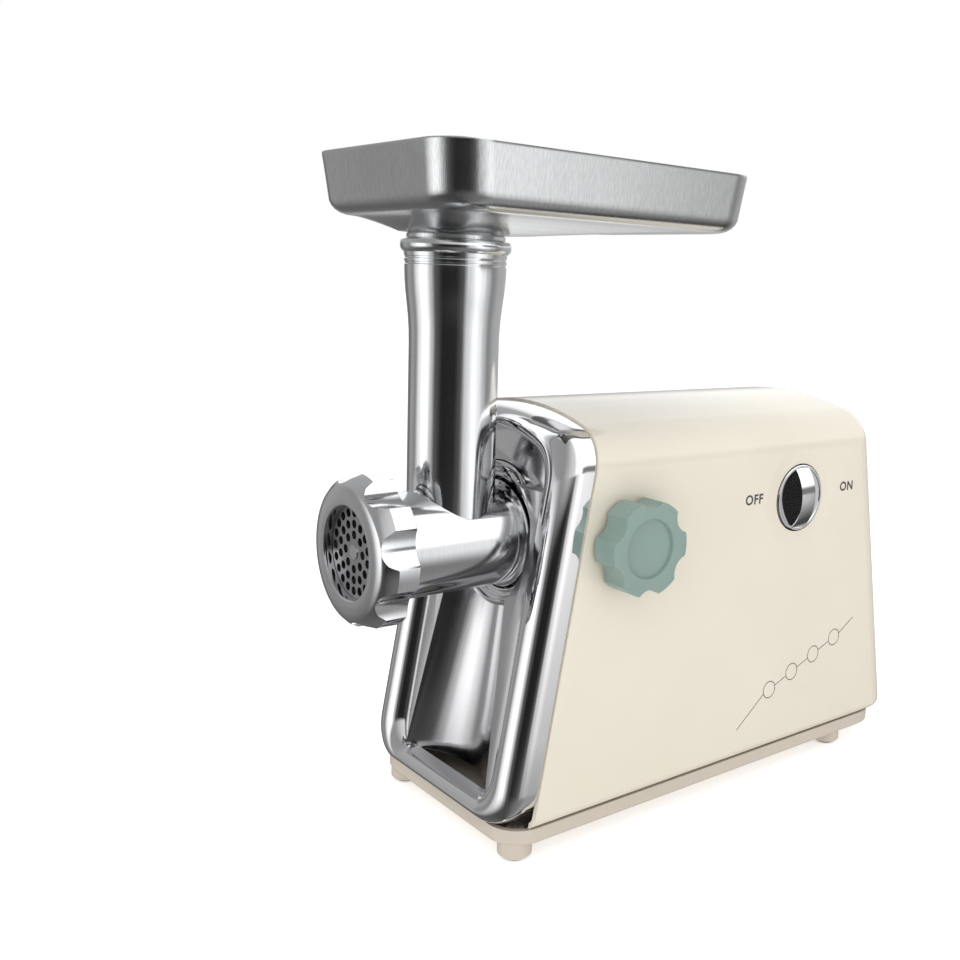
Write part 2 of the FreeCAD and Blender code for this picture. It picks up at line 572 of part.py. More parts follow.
def lock_screw():
    """The steel screw moulded into the knob."""
    start = PAD_TIP_X + PAD_LENGTH
    end = KNOB_FACE_X - 6
    shank = Part.makeCylinder(LOCK_SCREW_RADIUS, end - start, Vector(start, KNOB_Y, KNOB_Z), X_AXIS)
    socket = Part.makeCylinder(PAD_STEM_RADIUS + RUNNING_GAP, 3, Vector(start, KNOB_Y, KNOB_Z), X_AXIS)
    return shank.cut(socket)


def lock_thrust_pad():
    """The brass pad at the screw's tip that bears on the spigot without turning."""
    pad = Part.makeCylinder(3.6, PAD_LENGTH - 0.1, Vector(PAD_TIP_X, KNOB_Y, KNOB_Z), X_AXIS)
    stem = Part.makeCylinder(PAD_STEM_RADIUS, PAD_LENGTH + 2.5, Vector(PAD_TIP_X, KNOB_Y, KNOB_Z), X_AXIS)
    return pad.fuse(stem)


# --- switch ------------------------------------------------------------------------------------
def switch_dial():
    """The round dial with a raised grip bar across it."""
    face_x = BODY_WIDTH / 2 + 0.2
    disc = Part.makeCylinder(DIAL_RADIUS, 6, Vector(face_x - 6, DIAL_Y, DIAL_Z), X_AXIS)
    disc = disc.makeChamfer(0.7, [edge for edge in disc.Edges if edge.BoundBox.XMin > face_x - 0.01])
    grip = box((face_x - 3, face_x + GRIP_HEIGHT), (DIAL_Y - GRIP_WIDTH / 2, DIAL_Y + GRIP_WIDTH / 2),
               (DIAL_Z - DIAL_RADIUS, DIAL_Z + DIAL_RADIUS))
    barrel = Part.makeCylinder(GRIP_BOW_RADIUS, GRIP_WIDTH,
                               Vector(face_x + GRIP_HEIGHT - GRIP_BOW_RADIUS, DIAL_Y - GRIP_WIDTH / 2, DIAL_Z),
                               Y_AXIS)
    grip = grip.common(barrel)
    long_edges = [edge for edge in grip.Edges if edge.BoundBox.XMax > face_x + GRIP_HEIGHT - 0.1]
    grip = grip.makeFillet(2.0, long_edges)
    shaft = Part.makeCylinder(3.0, 22, Vector(face_x - 28, DIAL_Y, DIAL_Z), X_AXIS)
    return disc.fuse([grip, shaft])


def switch_body():
    """The rotary switch behind the dial, with its shaft bore and three blade terminals."""
    face_x = BODY_WIDTH / 2 + 0.2
    case = box((face_x - 38, BRACKET_BACK), (DIAL_Y - 17, DIAL_Y + 17), (DIAL_Z - 14, DIAL_Z + 14))
    case = case.cut(Part.makeCylinder(3.0 + RUNNING_GAP, 18, Vector(face_x - 29, DIAL_Y, DIAL_Z), X_AXIS))
    tabs = [box((face_x - 47, face_x - 37), (DIAL_Y + y - 3, DIAL_Y + y + 3), (DIAL_Z - 0.4, DIAL_Z + 0.4))
            for y in (-11, 0, 11)]
    return case.fuse(tabs)


def switch_bracket():
    """The plate on the inner wall that carries the switch."""
    inner = BODY_WIDTH / 2 - SHELL_WALL
    plate_front = BRACKET_BACK + BRACKET_PLATE
    plate = box((BRACKET_BACK, plate_front), (DIAL_Y - 27, DIAL_Y + 27), (DIAL_Z - 20, DIAL_Z + 20))
    posts = [Part.makeCylinder(3.5, inner - plate_front, Vector(plate_front, DIAL_Y + y, DIAL_Z), X_AXIS)
             for y in (-26, 26)]
    bracket = plate.fuse(posts)
    return bracket.cut(Part.makeCylinder(6, 40, Vector(inner - 30, DIAL_Y, DIAL_Z), X_AXIS))


# --- grinding head -----------------------------------------------------------------------------
def head_casting():
    """Barrel, feed tube and rear spigot in one piece, bored through."""
    barrel = rod(BARREL_RADIUS, BARREL_FRONT + THREAD_LENGTH, BARREL_REAR)
    thread = rod(THREAD_RADIUS - THREAD_DEPTH, BARREL_FRONT, BARREL_FRONT + THREAD_LENGTH)
    ridges = []
    turns = int((THREAD_LENGTH - 3) // THREAD_PITCH)
    for index in range(turns):
        y = BARREL_FRONT + 1.0 + THREAD_PITCH * index
        ridges.append(rod(THREAD_RADIUS, y, y + THREAD_PITCH / 2))
    flange = rod(BARREL_RADIUS + 2.2, BARREL_REAR - 1, BARREL_REAR + 3)
    spigot = rod(SPIGOT_RADIUS, BARREL_REAR, SPIGOT_REAR)
    foot_z = AXIS_Z
    tube = revolve([(0, 0), (TUBE_RADIUS, 0), (TUBE_RADIUS + 1.0, TUBE_TAPER_Z - foot_z),
                    (TUBE_SHOULDER_RADIUS - 0.5, TUBE_SHOULDER_Z - 6 - foot_z),
                    (TUBE_SHOULDER_RADIUS, TUBE_SHOULDER_Z + 8 - foot_z),
                    (TUBE_BEAD_RADIUS, TUBE_TOP - TUBE_BEAD_HEIGHT - foot_z),
                    (TUBE_BEAD_RADIUS, TUBE_TOP - foot_z), (0, TUBE_TOP - foot_z)],
                   (0, TUBE_Y, foot_z), Z_AXIS)
    bead = [edge for edge in tube.Edges if edge.BoundBox.ZMin > TUBE_TOP - 0.1 and edge.Length > 1]
    tube = tube.makeFillet(1.6, bead)
    casting = barrel.fuse([thread, flange, spigot, tube] + ridges)
    bore = rod(BARREL_BORE, BARREL_FRONT - 1, CHAMBER_REAR)
    tail_bore = rod(TAIL_BORE, CHAMBER_REAR - 1, CHAMBER_REAR + 12)
    relief = rod(OUTPUT_SHAFT_RADIUS + 2.5, CHAMBER_REAR + 11, SPIGOT_REAR + 1)
    tube_bore = Part.makeCylinder(TUBE_BORE, TUBE_TOP, Vector(0, TUBE_Y, AXIS_Z), Z_AXIS)
    mouth = Part.makeCylinder(TUBE_MOUTH_BORE, 40, Vector(0, TUBE_Y, TUBE_TOP - TUBE_MOUTH_DEPTH))
    throat = Part.makeCylinder(THROAT_RADIUS, THROAT_TOP - AXIS_Z, Vector(0, TUBE_Y, AXIS_Z))
    return casting.cut([bore, tail_bore, relief, tube_bore, mouth, throat]).removeSplitter()


def auger():
    """The feed screw: a tapered core with one flight, a front pin and a square tail."""
    front = KNIFE_REAR
    rear = CHAMBER_REAR - 1.0
    length = rear - front
    core = Part.makeCone(AUGER_CORE_FRONT, AUGER_CORE_REAR, length, Vector(0, front, AXIS_Z), Y_AXIS)
    outer = BARREL_BORE - AUGER_CLEARANCE
    flight_length = length - 10
    helix = Part.makeHelix(AUGER_PITCH, flight_length, outer)
    root = AUGER_CORE_REAR - 2
    profile = Part.makePolygon([Vector(outer, 0, -1.6), Vector(root, 0, -3.4), Vector(root, 0, 3.4),
                                Vector(outer, 0, 1.6), Vector(outer, 0, -1.6)])
    flight = Part.Wire(helix.Edges).makePipeShell([profile], True, True)
    flight = place(flight, (0, front + 5, AXIS_Z), Y_AXIS)
    pin_length = KNIFE_REAR - (PLATE_FRONT - 0.5)
    pin = rod(PIN_RADIUS, KNIFE_REAR, KNIFE_REAR - pin_length)
    drive = box((-KNIFE_SQUARE / 2, KNIFE_SQUARE / 2), (KNIFE_REAR - KNIFE_THICKNESS, KNIFE_REAR),
                (AXIS_Z - KNIFE_SQUARE / 2, AXIS_Z + KNIFE_SQUARE / 2))
    journal = rod(TAIL_BORE - RUNNING_GAP, rear - 1, CHAMBER_REAR + 13)
    half = DRIVE_SQUARE / 2
    tail = box((-half, half), (CHAMBER_REAR + 12, TAIL_REAR), (AXIS_Z - half, AXIS_Z + half))
    return core.fuse([flight, pin, drive, journal, tail])


def knife():
    """The four-bladed knife on the auger's square."""
    hub = rod(9.5, KNIFE_REAR, KNIFE_REAR - KNIFE_THICKNESS)
    blades = []
    for index in range(4):
        blade = box((-3.4, 3.4), (KNIFE_REAR - KNIFE_THICKNESS, KNIFE_REAR - 1.0), (AXIS_Z, AXIS_Z + KNIFE_LENGTH))
        blade.rotate(Vector(0, 0, AXIS_Z), Y_AXIS, 90 * index)
        blades.append(blade)
    half = KNIFE_SQUARE / 2
    square = box((-half, half), (-260, -150), (AXIS_Z - half, AXIS_Z + half))
    return hub.fuse(blades).cut(square).removeSplitter()


def hole_plate():
    """The perforated plate with its rings of holes and its notch."""
    plate = rod(PLATE_RADIUS, PLATE_FRONT, PLATE_FRONT + PLATE_THICKNESS)
    holes = [rod(PIN_RADIUS + RUNNING_GAP, PLATE_FRONT - 1, PLATE_FRONT + 9)]
    for ring, count in ((9.5, 8), (15.5, 14), (21.5, 20)):
        for index in range(count):
            angle = 2 * math.pi * index / count
            holes.append(rod(PLATE_HOLE_RADIUS, PLATE_FRONT - 1, PLATE_FRONT + 9,
                             ring * math.sin(angle), AXIS_Z + ring * math.cos(angle)))
    notch = rod(2.0, PLATE_FRONT - 1, PLATE_FRONT + 9, 0, AXIS_Z - PLATE_RADIUS)
    return plate.cut(holes + [notch])


def lobed_prism(tip, valley, y_start, y_end):
    """A prism with evenly spaced rounded lobes, between two stations."""
    mean = (tip + valley) / 2
    swing = (tip - valley) / 2
    points = []
    count = NUT_LOBES * 8
    for index in range(count):
        angle = 2 * math.pi * index / count
        radius = mean + swing * math.cos(NUT_LOBES * angle)
        turned = angle + math.radians(NUT_PHASE)
        points.append(Vector(radius * math.sin(turned), y_start, AXIS_Z + radius * math.cos(turned)))
    curve = Part.BSplineCurve()
    curve.interpolate(points, PeriodicFlag=True)
    face = Part.Face(Part.Wire([curve.toShape()]))
    return face.extrude(Vector(0, y_end - y_start, 0))


def ring_nut():
    """The lobed ring nut: a conical front falling back from a flat lip, and a threaded bore."""
    prism = lobed_prism(NUT_TIP_RADIUS, NUT_VALLEY_RADIUS, NUT_FRONT, NUT_BACK)
    depth = NUT_BACK - NUT_FRONT
    slope = (NUT_CONE_DROP - NUT_SHOULDER_DROP) / (NUT_TIP_RADIUS - NUT_SHOULDER_RADIUS)
    form = revolve([(0, 0), (NUT_TIP_RADIUS + 1, 0), (NUT_TIP_RADIUS + 1, depth - NUT_CONE_DROP - slope),
                    (NUT_SHOULDER_RADIUS, depth - NUT_SHOULDER_DROP), (NUT_LIP_RADIUS, depth), (0, depth)],
                   (0, NUT_BACK, AXIS_Z), Y_AXIS.negative())
    nut = prism.common(form)
    bore = rod(NUT_BORE, NUT_BACK + 1, PLATE_FRONT - PLATE_GAP)
    opening = rod(NUT_OPENING_RADIUS, NUT_FRONT - 1, NUT_BACK)
    return nut.cut([bore, opening])


# --- meat tray ---------------------------------------------------------------------------------
def tray_form(inset):
    """The tray's outer form, or its inside when inset by the sheet."""
    half_y = (TRAY_REAR - TRAY_FRONT) / 2
    mid_y = (TRAY_REAR + TRAY_FRONT) / 2
    low_z = TRAY_TOP - TRAY_WALL_HEIGHT + inset
    bend = TRAY_BOTTOM_ROUND - inset
    sections = [(inset, TRAY_TOP)]
    for turn in (0, 22.5, 45, 67.5, 90):
        angle = math.radians(turn)
        taper = TRAY_TAPER + inset
        sections.append((taper + bend * (1 - math.cos(angle)), low_z + bend * (1 - math.sin(angle))))
    wires = [rounded_rectangle(TRAY_HALF_X - step, half_y - step, TRAY_CORNER - step, z, mid_y)
             for step, z in sections]
    neck = TRAY_NECK_RADIUS + 2
    wires.append(rounded_rectangle(neck, neck, neck - 0.1, low_z - TRAY_FALL, TUBE_Y))
    return Part.makeLoft(list(reversed(wires)), True, True)


def rounded_rectangle(half_x, half_y, radius, z, mid_y):
    """The wire of a rounded rectangle at a height."""
    prism = rounded_prism(half_x, half_y, radius, 1.0)
    bottom = min(prism.Faces, key=lambda face: face.CenterOfMass.z)
    wire = bottom.OuterWire
    wire.translate(Vector(0, mid_y, z))
    return wire


def meat_tray():
    """The stainless tray with its rolled rim and the neck that drops into the feed tube."""
    tray = tray_form(0).cut(tray_form(TRAY_SHEET))
    lid = box((-200, 200), (-300, 200), (TRAY_TOP - 0.01, TRAY_TOP + 50))
    tray = tray.cut(lid)
    neck_top = TRAY_TOP - TRAY_WALL_HEIGHT - TRAY_FALL + TRAY_SHEET + 0.4
    neck = Part.makeCylinder(TRAY_NECK_RADIUS, neck_top - TRAY_NECK_BOTTOM, Vector(0, TUBE_Y, TRAY_NECK_BOTTOM))
    collar = Part.makeCylinder(TRAY_NECK_RADIUS + 2.2, 2.6, Vector(0, TUBE_Y, TUBE_TOP + CLEARANCE))
    tray = tray.fuse([neck, collar])
    throat = Part.makeCylinder(TRAY_NECK_RADIUS - TRAY_SHEET, 60, Vector(0, TUBE_Y, TRAY_NECK_BOTTOM - 5))
    return tray.cut(throat)


# --- gears -------------------------------------------------------------------------------------
def tooth_angle(radius, base, pitch_radius, half_thickness):
    """Half the angle that a tooth spans at a radius on its involute flank."""
    def involute(value):
        pressure = math.acos(min(1.0, base / value))
        return math.tan(pressure) - pressure
    return half_thickness / pitch_radius + involute(pitch_radius) - involute(max(radius, base))


def gear(module, teeth, y_start, y_end, axis, towards, meshes_with_gap=False):
    """A spur gear with a tooth, or a gap, pointing at another gear's axis."""
    pitch = module * teeth / 2
    base = pitch * math.cos(math.radians(20))
    tip = pitch + 0.9 * module
    root = pitch - 1.2 * module
    half = module * (math.pi / 2 - TOOTH_THINNING) / 2
    start = max(base, root)
    radii = [start + (tip - start) * step / 4 for step in range(5)]
    spans = [tooth_angle(radius, base, pitch, half) for radius in radii]
    flank = [(root, spans[0])] + list(zip(radii, spans))
    outline = [(r, -a) for r, a in flank] + [(r, a) for r, a in reversed(flank)]
    heading = math.atan2(towards[1] - axis[1], towards[0] - axis[0])
    pitch_angle = 2 * math.pi / teeth
    if meshes_with_gap:
        heading += pitch_angle / 2
    corners = []
    for tooth in range(teeth):
        for radius, angle in outline:
            turned = heading + tooth * pitch_angle + angle
            corners.append(Vector(axis[0] + radius * math.cos(turned), y_start,
                                  axis[1] + radius * math.sin(turned)))
    face = Part.Face(Part.makePolygon(corners + corners[:1]))
    return face.extrude(Vector(0, y_end - y_start, 0))


def lightened(wheel, module, teeth, y_start, y_end, axis):
    """A wheel with its web thinned on both sides between hub and rim."""
    rim = module * teeth / 2 - 3.2 * module
    recess = 2.4
    for low, high in ((y_start, y_start + recess), (y_end - recess, y_end)):
        wheel = wheel.cut(pipe(rim, 13.5, low, high, *axis))
    return wheel


def running_bore(axis, radius=AXLE_RADIUS):
    """The bore of a gear that runs on a fixed axle."""
    return rod(radius + RUNNING_GAP, -200, 200, *axis)


def output_gear():
    """The last wheel, pressed on the output shaft."""
    end = STAGE_3_FRONT + GEAR_FACE_3
    wheel = gear(MODULE_3, LAST_WHEEL_TEETH, STAGE_3_FRONT, end, OUTPUT_AXIS, SECOND_AXIS)
    wheel = wheel.cut(rod(OUTPUT_SHAFT_RADIUS, -200, 200))
    return lightened(wheel, MODULE_3, LAST_WHEEL_TEETH, STAGE_3_FRONT, end, OUTPUT_AXIS)


def output_shaft():
    """The shaft that drives the auger through the square hole in its front end."""
    shaft = rod(OUTPUT_SHAFT_RADIUS, OUTPUT_FRONT, COVER_REAR - 1)
    half = DRIVE_SQUARE / 2 + 0.15
    return shaft.cut(box((-half, half), (OUTPUT_FRONT - 1, TAIL_REAR + 2), (AXIS_Z - half, AXIS_Z + half)))


def second_wheel():
    """The wheel of the second cluster."""
    end = STAGE_2_FRONT + GEAR_FACE_2
    wheel = gear(MODULE_2, WHEEL_TEETH, STAGE_2_FRONT, end, SECOND_AXIS, FIRST_AXIS)
    wheel = lightened(wheel, MODULE_2, WHEEL_TEETH, STAGE_2_FRONT, end, SECOND_AXIS)
    return wheel.cut(running_bore(SECOND_AXIS))


def second_pinion():
    """The pinion of the second cluster, in mesh with the output gear."""
    pinion = gear(MODULE_3, LAST_PINION_TEETH, STAGE_3_FRONT, STAGE_2_FRONT, SECOND_AXIS, OUTPUT_AXIS, True)
    return pinion.cut(running_bore(SECOND_AXIS))


def first_wheel():
    """The wheel of the first cluster."""
    end = STAGE_1_FRONT + GEAR_FACE_1
    wheel = gear(MODULE_1, WHEEL_TEETH, STAGE_1_FRONT, end, FIRST_AXIS, MOTOR_AXIS)
    return wheel.cut(running_bore(FIRST_AXIS))


def first_pinion():
    """The pinion of the first cluster, in mesh with the second wheel."""
    pinion = gear(MODULE_2, PINION_TEETH, STAGE_2_FRONT, STAGE_1_FRONT, FIRST_AXIS, SECOND_AXIS, True)
    return pinion.cut(running_bore(FIRST_AXIS))


def motor_pinion():
    """The steel pinion on the motor shaft."""
    pinion = gear(MODULE_1, PINION_TEETH, STAGE_1_FRONT - 1, STAGE_1_FRONT + GEAR_FACE_1, MOTOR_AXIS,
                  FIRST_AXIS, True)
    return pinion.cut(rod(MOTOR_SHAFT_RADIUS, -200, 200, *MOTOR_AXIS))


def tangent_slab(first, first_radius, second, second_radius, y_start, y_end):
    """The block between the two outer tangents of two circles."""
    dx, dz = second[0] - first[0], second[1] - first[1]
    span = math.hypot(dx, dz)
    heading = math.atan2(dz, dx)
    lean = math.acos((first_radius - second_radius) / span)
    corners = []
    for centre, radius, side in ((first, first_radius, 1), (second, second_radius, 1),
                                 (second, second_radius, -1), (first, first_radius, -1)):
        angle = heading + side * lean
        corners.append(Vector(centre[0] + radius * math.cos(angle), y_start,
                              centre[1] + radius * math.sin(angle)))
    face = Part.Face(Part.makePolygon(corners + corners[:1]))
    return face.extrude(Vector(0, y_end - y_start, 0))


def gear_room(extra, y_start, y_end):
    """The space that wraps the gears, grown by a wall."""
    circles = [(OUTPUT_AXIS, MODULE_3 * (LAST_WHEEL_TEETH / 2 + 1) + GEAR_ROOM + extra),
               (SECOND_AXIS, MODULE_2 * (WHEEL_TEETH / 2 + 1) + GEAR_ROOM + extra),
               (FIRST_AXIS, MODULE_1 * (WHEEL_TEETH / 2 + 1) + GEAR_ROOM + extra),
               (MOTOR_AXIS, MODULE_1 * (PINION_TEETH / 2 + 1) + GEAR_ROOM + extra)]
    pieces = [rod(radius, y_start, y_end, *centre) for centre, radius in circles]
    for (first, first_radius), (second, second_radius) in ((circles[0], circles[1]), (circles[1], circles[2])):
        pieces.append(tangent_slab(first, first_radius, second, second_radius, y_start, y_end))
    return pieces[0].fuse(pieces[1:]).removeSplitter()


def axle_holes():
    """The holes of the two gear axles in the case and its cover."""
    return [rod(AXLE_RADIUS, GEARBOX_FRONT + 1, COVER_REAR - 1, *axis) for axis in (FIRST_AXIS, SECOND_AXIS)]


def gearbox_screw_places():
    """Where the case and its cover are screwed together, as (x, z)."""
    out = MODULE_3 * (LAST_WHEEL_TEETH / 2 + 1) + GEAR_ROOM + GEARBOX_WALL + 2.5
    top = [(out * math.cos(math.radians(a)), AXIS_Z + out * math.sin(math.radians(a))) for a in (15, 90, 165)]
    side = MODULE_2 * (WHEEL_TEETH / 2 + 1) + GEAR_ROOM + GEARBOX_WALL + 2.5
    low = (SECOND_AXIS[0] - side * 0.5, SECOND_AXIS[1] - side * math.sqrt(0.75))
    first = MODULE_1 * (WHEEL_TEETH / 2 + 1) + GEAR_ROOM + GEARBOX_WALL + 2.5
    return top + [low, (FIRST_AXIS[0] + first, FIRST_AXIS[1])]


def gearbox_case():
    """The die-cast case that holds the gear train, with its leg to the base."""
    case = gear_room(GEARBOX_WALL, GEARBOX_FRONT, GEARBOX_REAR)
    lugs = [rod(5, GEARBOX_FRONT + 6, GEARBOX_REAR, x, z) for x, z in gearbox_screw_places()]
    leg = box((-22, 34), (GEARBOX_FRONT + 8, GEARBOX_REAR - 4), (TRAY_FLOOR + TRAY_WALL, MOTOR_Z))
    case = case.fuse(lugs + [leg])
    room = gear_room(0, GEARBOX_FRONT + GEARBOX_WALL, GEARBOX_REAR + 1)
    bush_hole = rod(OUTPUT_BUSH_RADIUS, GEARBOX_FRONT - 1, GEARBOX_FRONT + GEARBOX_WALL + 1)
    holes = [rod(SCREW_RADIUS, GEARBOX_REAR - 14, GEARBOX_REAR + 1, x, z) for x, z in gearbox_screw_places()]
    holes += [rod(SCREW_RADIUS, GEARBOX_FRONT - 1, GEARBOX_FRONT + 2.5, x, z) for x, z in socket_screw_places()]
    return case.cut([room, bush_hole] + holes + axle_holes())


def gearbox_cover():
    """The flat cover that closes the case towards the motor."""
    cover = gear_room(GEARBOX_WALL, GEARBOX_REAR, COVER_REAR)
    lugs = [rod(5, GEARBOX_REAR, COVER_REAR, x, z) for x, z in gearbox_screw_places()]
    cover = cover.fuse(lugs)
    holes = [rod(SCREW_RADIUS, GEARBOX_REAR - 1, COVER_REAR + 1, x, z) for x, z in gearbox_screw_places()]
    holes.append(rod(OUTPUT_BUSH_RADIUS, GEARBOX_REAR - 1, COVER_REAR + 1))
    holes.append(rod(BEARING_OUTER, GEARBOX_REAR - 1, COVER_REAR + 1, *MOTOR_AXIS))
    return cover.cut(holes + axle_holes())


def bush(y_start, y_end):
    """A bronze bush for the output shaft."""
    return pipe(OUTPUT_BUSH_RADIUS, OUTPUT_SHAFT_RADIUS + RUNNING_GAP, y_start, y_end)


# --- motor -------------------------------------------------------------------------------------
def stator_core():
    """The laminated stator: a ring with two poles."""
    ring = pipe(STATOR_RADIUS, STATOR_RADIUS - 7, STATOR_FRONT, STATOR_REAR, *MOTOR_AXIS)
    poles = pipe(STATOR_RADIUS - 6.5, STATOR_BORE, STATOR_FRONT, STATOR_REAR, *MOTOR_AXIS)
    reach = STATOR_BORE * math.sin(math.radians(48))
    band = box((-60, 60), (STATOR_FRONT, STATOR_REAR), (MOTOR_Z - reach, MOTOR_Z + reach))
    return ring.fuse(poles.common(band)).removeSplitter()


def field_coils():
    """The two windings, above and below the rotor between the poles."""
    bundle = pipe(STATOR_RADIUS - 8, STATOR_BORE + 1, STATOR_FRONT - 6, STATOR_REAR + 6, *MOTOR_AXIS)
    reach = STATOR_BORE * math.sin(math.radians(48)) + 0.8
    upper = bundle.common(box((-60, 60), (-100, 200), (MOTOR_Z + reach, MOTOR_Z + 60)))
    lower = bundle.common(box((-60, 60), (-100, 200), (MOTOR_Z - 60, MOTOR_Z - reach)))
    return group([upper, lower])


def motor_bracket(y_start, y_end, bearing_start, bearing_end):
    """An end bracket: a spider with a bearing seat, two ears for the tie bolts and air slots."""
    disc = rod(STATOR_RADIUS, y_start, y_end, *MOTOR_AXIS)
    hub = rod(BEARING_OUTER + 3, bearing_start, bearing_end, *MOTOR_AXIS)
    ears = [rod(5, y_start, y_end, x, MOTOR_Z) for x in (-TIE_BOLT_X, TIE_BOLT_X)]
    bracket = disc.fuse([hub] + ears)
    slots = []
    for index in range(6):
        angle = math.radians(60 * index + 30)
        slots.append(rod(7, y_start - 1, y_end + 1, 25 * math.cos(angle), MOTOR_Z + 25 * math.sin(angle)))
    seat = rod(BEARING_OUTER, -200, 300, *MOTOR_AXIS)
    bolts = [rod(2, -200, 300, x, MOTOR_Z) for x in (-TIE_BOLT_X, TIE_BOLT_X)]
    return bracket.cut(slots + [seat] + bolts)


def front_bracket():
    """The front bracket, notched for the heads of the gearbox screws."""
    bracket = motor_bracket(MOTOR_FRONT, MOTOR_FRONT + 5, MOTOR_FRONT, MOTOR_FRONT + 7)
    return bracket.cut([rod(SCREW_HEAD_RADIUS + 0.6, MOTOR_FRONT - 1, MOTOR_FRONT + 2.4, x, z)
                        for x, z in gearbox_screw_places()])


def motor_bearing(y_start):
    """A deep-groove bearing drawn as one ring with its two faces recessed."""
    ring = pipe(BEARING_OUTER, MOTOR_SHAFT_RADIUS + RUNNING_GAP, y_start, y_start + BEARING_WIDTH, *MOTOR_AXIS)
    faces = [pipe(BEARING_OUTER - 2, MOTOR_SHAFT_RADIUS + 2, y, y + 0.6, *MOTOR_AXIS)
             for y in (y_start, y_start + BEARING_WIDTH - 0.6)]
    return ring.cut(faces)


def motor_shaft():
    """The armature's shaft."""
    return rod(MOTOR_SHAFT_RADIUS, STAGE_1_FRONT - 1.5, MOTOR_REAR + 4, *MOTOR_AXIS)


def on_shaft(shape):
    """Bore a piece of the armature for its shaft."""
    return shape.cut(rod(MOTOR_SHAFT_RADIUS, -200, 300, *MOTOR_AXIS))


def rotor_core():
    """The slotted rotor stack."""
    core = rod(ROTOR_RADIUS, STATOR_FRONT, STATOR_REAR, *MOTOR_AXIS)
    slots = []
    for index in range(12):
        angle = math.radians(30 * index)
        slots.append(rod(1.6, STATOR_FRONT - 1, STATOR_REAR + 1,
                         (ROTOR_RADIUS - 1) * math.cos(angle), MOTOR_Z + (ROTOR_RADIUS - 1) * math.sin(angle)))
    return on_shaft(core.cut(slots))


def commutator():
    """The commutator, slotted between its bars."""
    drum = rod(COMMUTATOR_RADIUS, BRUSH_Y - 8, BRUSH_Y + 8, *MOTOR_AXIS)
    bars = []
    for index in range(24):
        angle = 15 * index
        slit = box((COMMUTATOR_RADIUS - 1, COMMUTATOR_RADIUS + 1), (BRUSH_Y - 9, BRUSH_Y + 6),
                   (MOTOR_Z - 0.25, MOTOR_Z + 0.25))
        slit.rotate(Vector(0, 0, MOTOR_Z), Y_AXIS, angle)
        bars.append(slit)
    return on_shaft(drum.cut(bars))


def cooling_fan():
    """The fan between the front bracket and the stator."""
    start = MOTOR_FRONT + 9.0
    hub = rod(9, start, start + 7, *MOTOR_AXIS)
    disc = rod(FAN_RADIUS, start, start + 1.6, *MOTOR_AXIS)
    blades = []
    for index in range(9):
        blade = box((8, FAN_RADIUS - 1), (start, start + 6), (MOTOR_Z - 0.8, MOTOR_Z + 0.8))
        blade.rotate(Vector(0, 0, MOTOR_Z), Y_AXIS, 40 * index)
        blades.append(blade)
    return on_shaft(hub.fuse([disc] + blades).removeSplitter())


def brush_board():
    """The insulating ring that carries the two brush holders."""
    return pipe(STATOR_RADIUS - 3, COMMUTATOR_RADIUS + 2.5, BRUSH_Y + 6, BRUSH_Y + 9, *MOTOR_AXIS)


def brush_piece(low, high, half, hollow):
    """One piece of each brush set, on both sides of the commutator."""
    solids = []
    for side in (-1, 1):
        ends = sorted((side * low, side * high))
        solid = box(ends, (BRUSH_Y - half, BRUSH_Y + half), (MOTOR_Z - half, MOTOR_Z + half))
        if hollow:
            solid = solid.cut(box(ends, (BRUSH_Y - hollow, BRUSH_Y + hollow), (MOTOR_Z - hollow, MOTOR_Z + hollow)))
        solids.append(solid)
    return group(solids)


def brush_springs():
    """The coil springs behind the brushes."""
    springs = []
    for side in (-1, 1):
        helix = Part.makeHelix(1.5, 9.0, 2.0)
        wire = Part.Wire(helix.Edges)
        circle = Part.Wire([Part.makeCircle(0.3, Vector(2.0, 0, 0), Y_AXIS)])
        coil = wire.makePipeShell([circle], True, True)
        springs.append(place(coil, (side * (BRUSH_TAIL + CLEARANCE), BRUSH_Y, MOTOR_Z), X_AXIS * side))
    return group(springs)


def motor_mount(y):
    """A rubber saddle between the stator and the base."""
    block = box((-24, 24), (y, y + 12), (TRAY_FLOOR + TRAY_WALL, MOTOR_Z - 22))
    return block.cut(rod(STATOR_RADIUS, y - 1, y + 13, *MOTOR_AXIS))


def tie_bolts():
    """The two long bolts that hold the motor's brackets together."""
    bolts = []
    for x in (-TIE_BOLT_X, TIE_BOLT_X):
        bolts.append(rod(2, MOTOR_FRONT, MOTOR_REAR + 3, x, MOTOR_Z)
                     .fuse(rod(4, MOTOR_REAR + 3, MOTOR_REAR + 6, x, MOTOR_Z)))
    return group(bolts)


# --- electrical fittings -----------------------------------------------------------------------
def cord_gland():
    """The rubber inlet in the rear wall, with its bore for a supply cord."""
    wall_y = rear_plane_y(GLAND_Z)
    shoulder = wall_y + GLAND_SHOULDER
    body = rod(GLAND_BODY_RADIUS, wall_y - 12, shoulder, GLAND_X, GLAND_Z)
    flange = rod(GLAND_BODY_RADIUS + 3.5, shoulder - 2.6, shoulder, GLAND_X, GLAND_Z)
    nose = revolve([(0, 0), (GLAND_BODY_RADIUS, 0), (GLAND_BODY_RADIUS - 2.5, GLAND_NOSE), (0, GLAND_NOSE)],
                   (GLAND_X, shoulder, GLAND_Z), Y_AXIS)
    gland = body.fuse([flange, nose]).cut(rod(GLAND_BORE, 100, 300, GLAND_X, GLAND_Z))
    return gland.removeSplitter()


def terminal_block():
    """The mains terminal block on the base tray."""
    floor = TRAY_FLOOR + TRAY_WALL
    block = box((-45, -15), (135, 149), (floor, floor + 14))
    wells = [Part.makeCylinder(2.2, 20, Vector(x, 142, floor + 4)) for x in (-38, -30, -22)]
    return block.cut(wells)


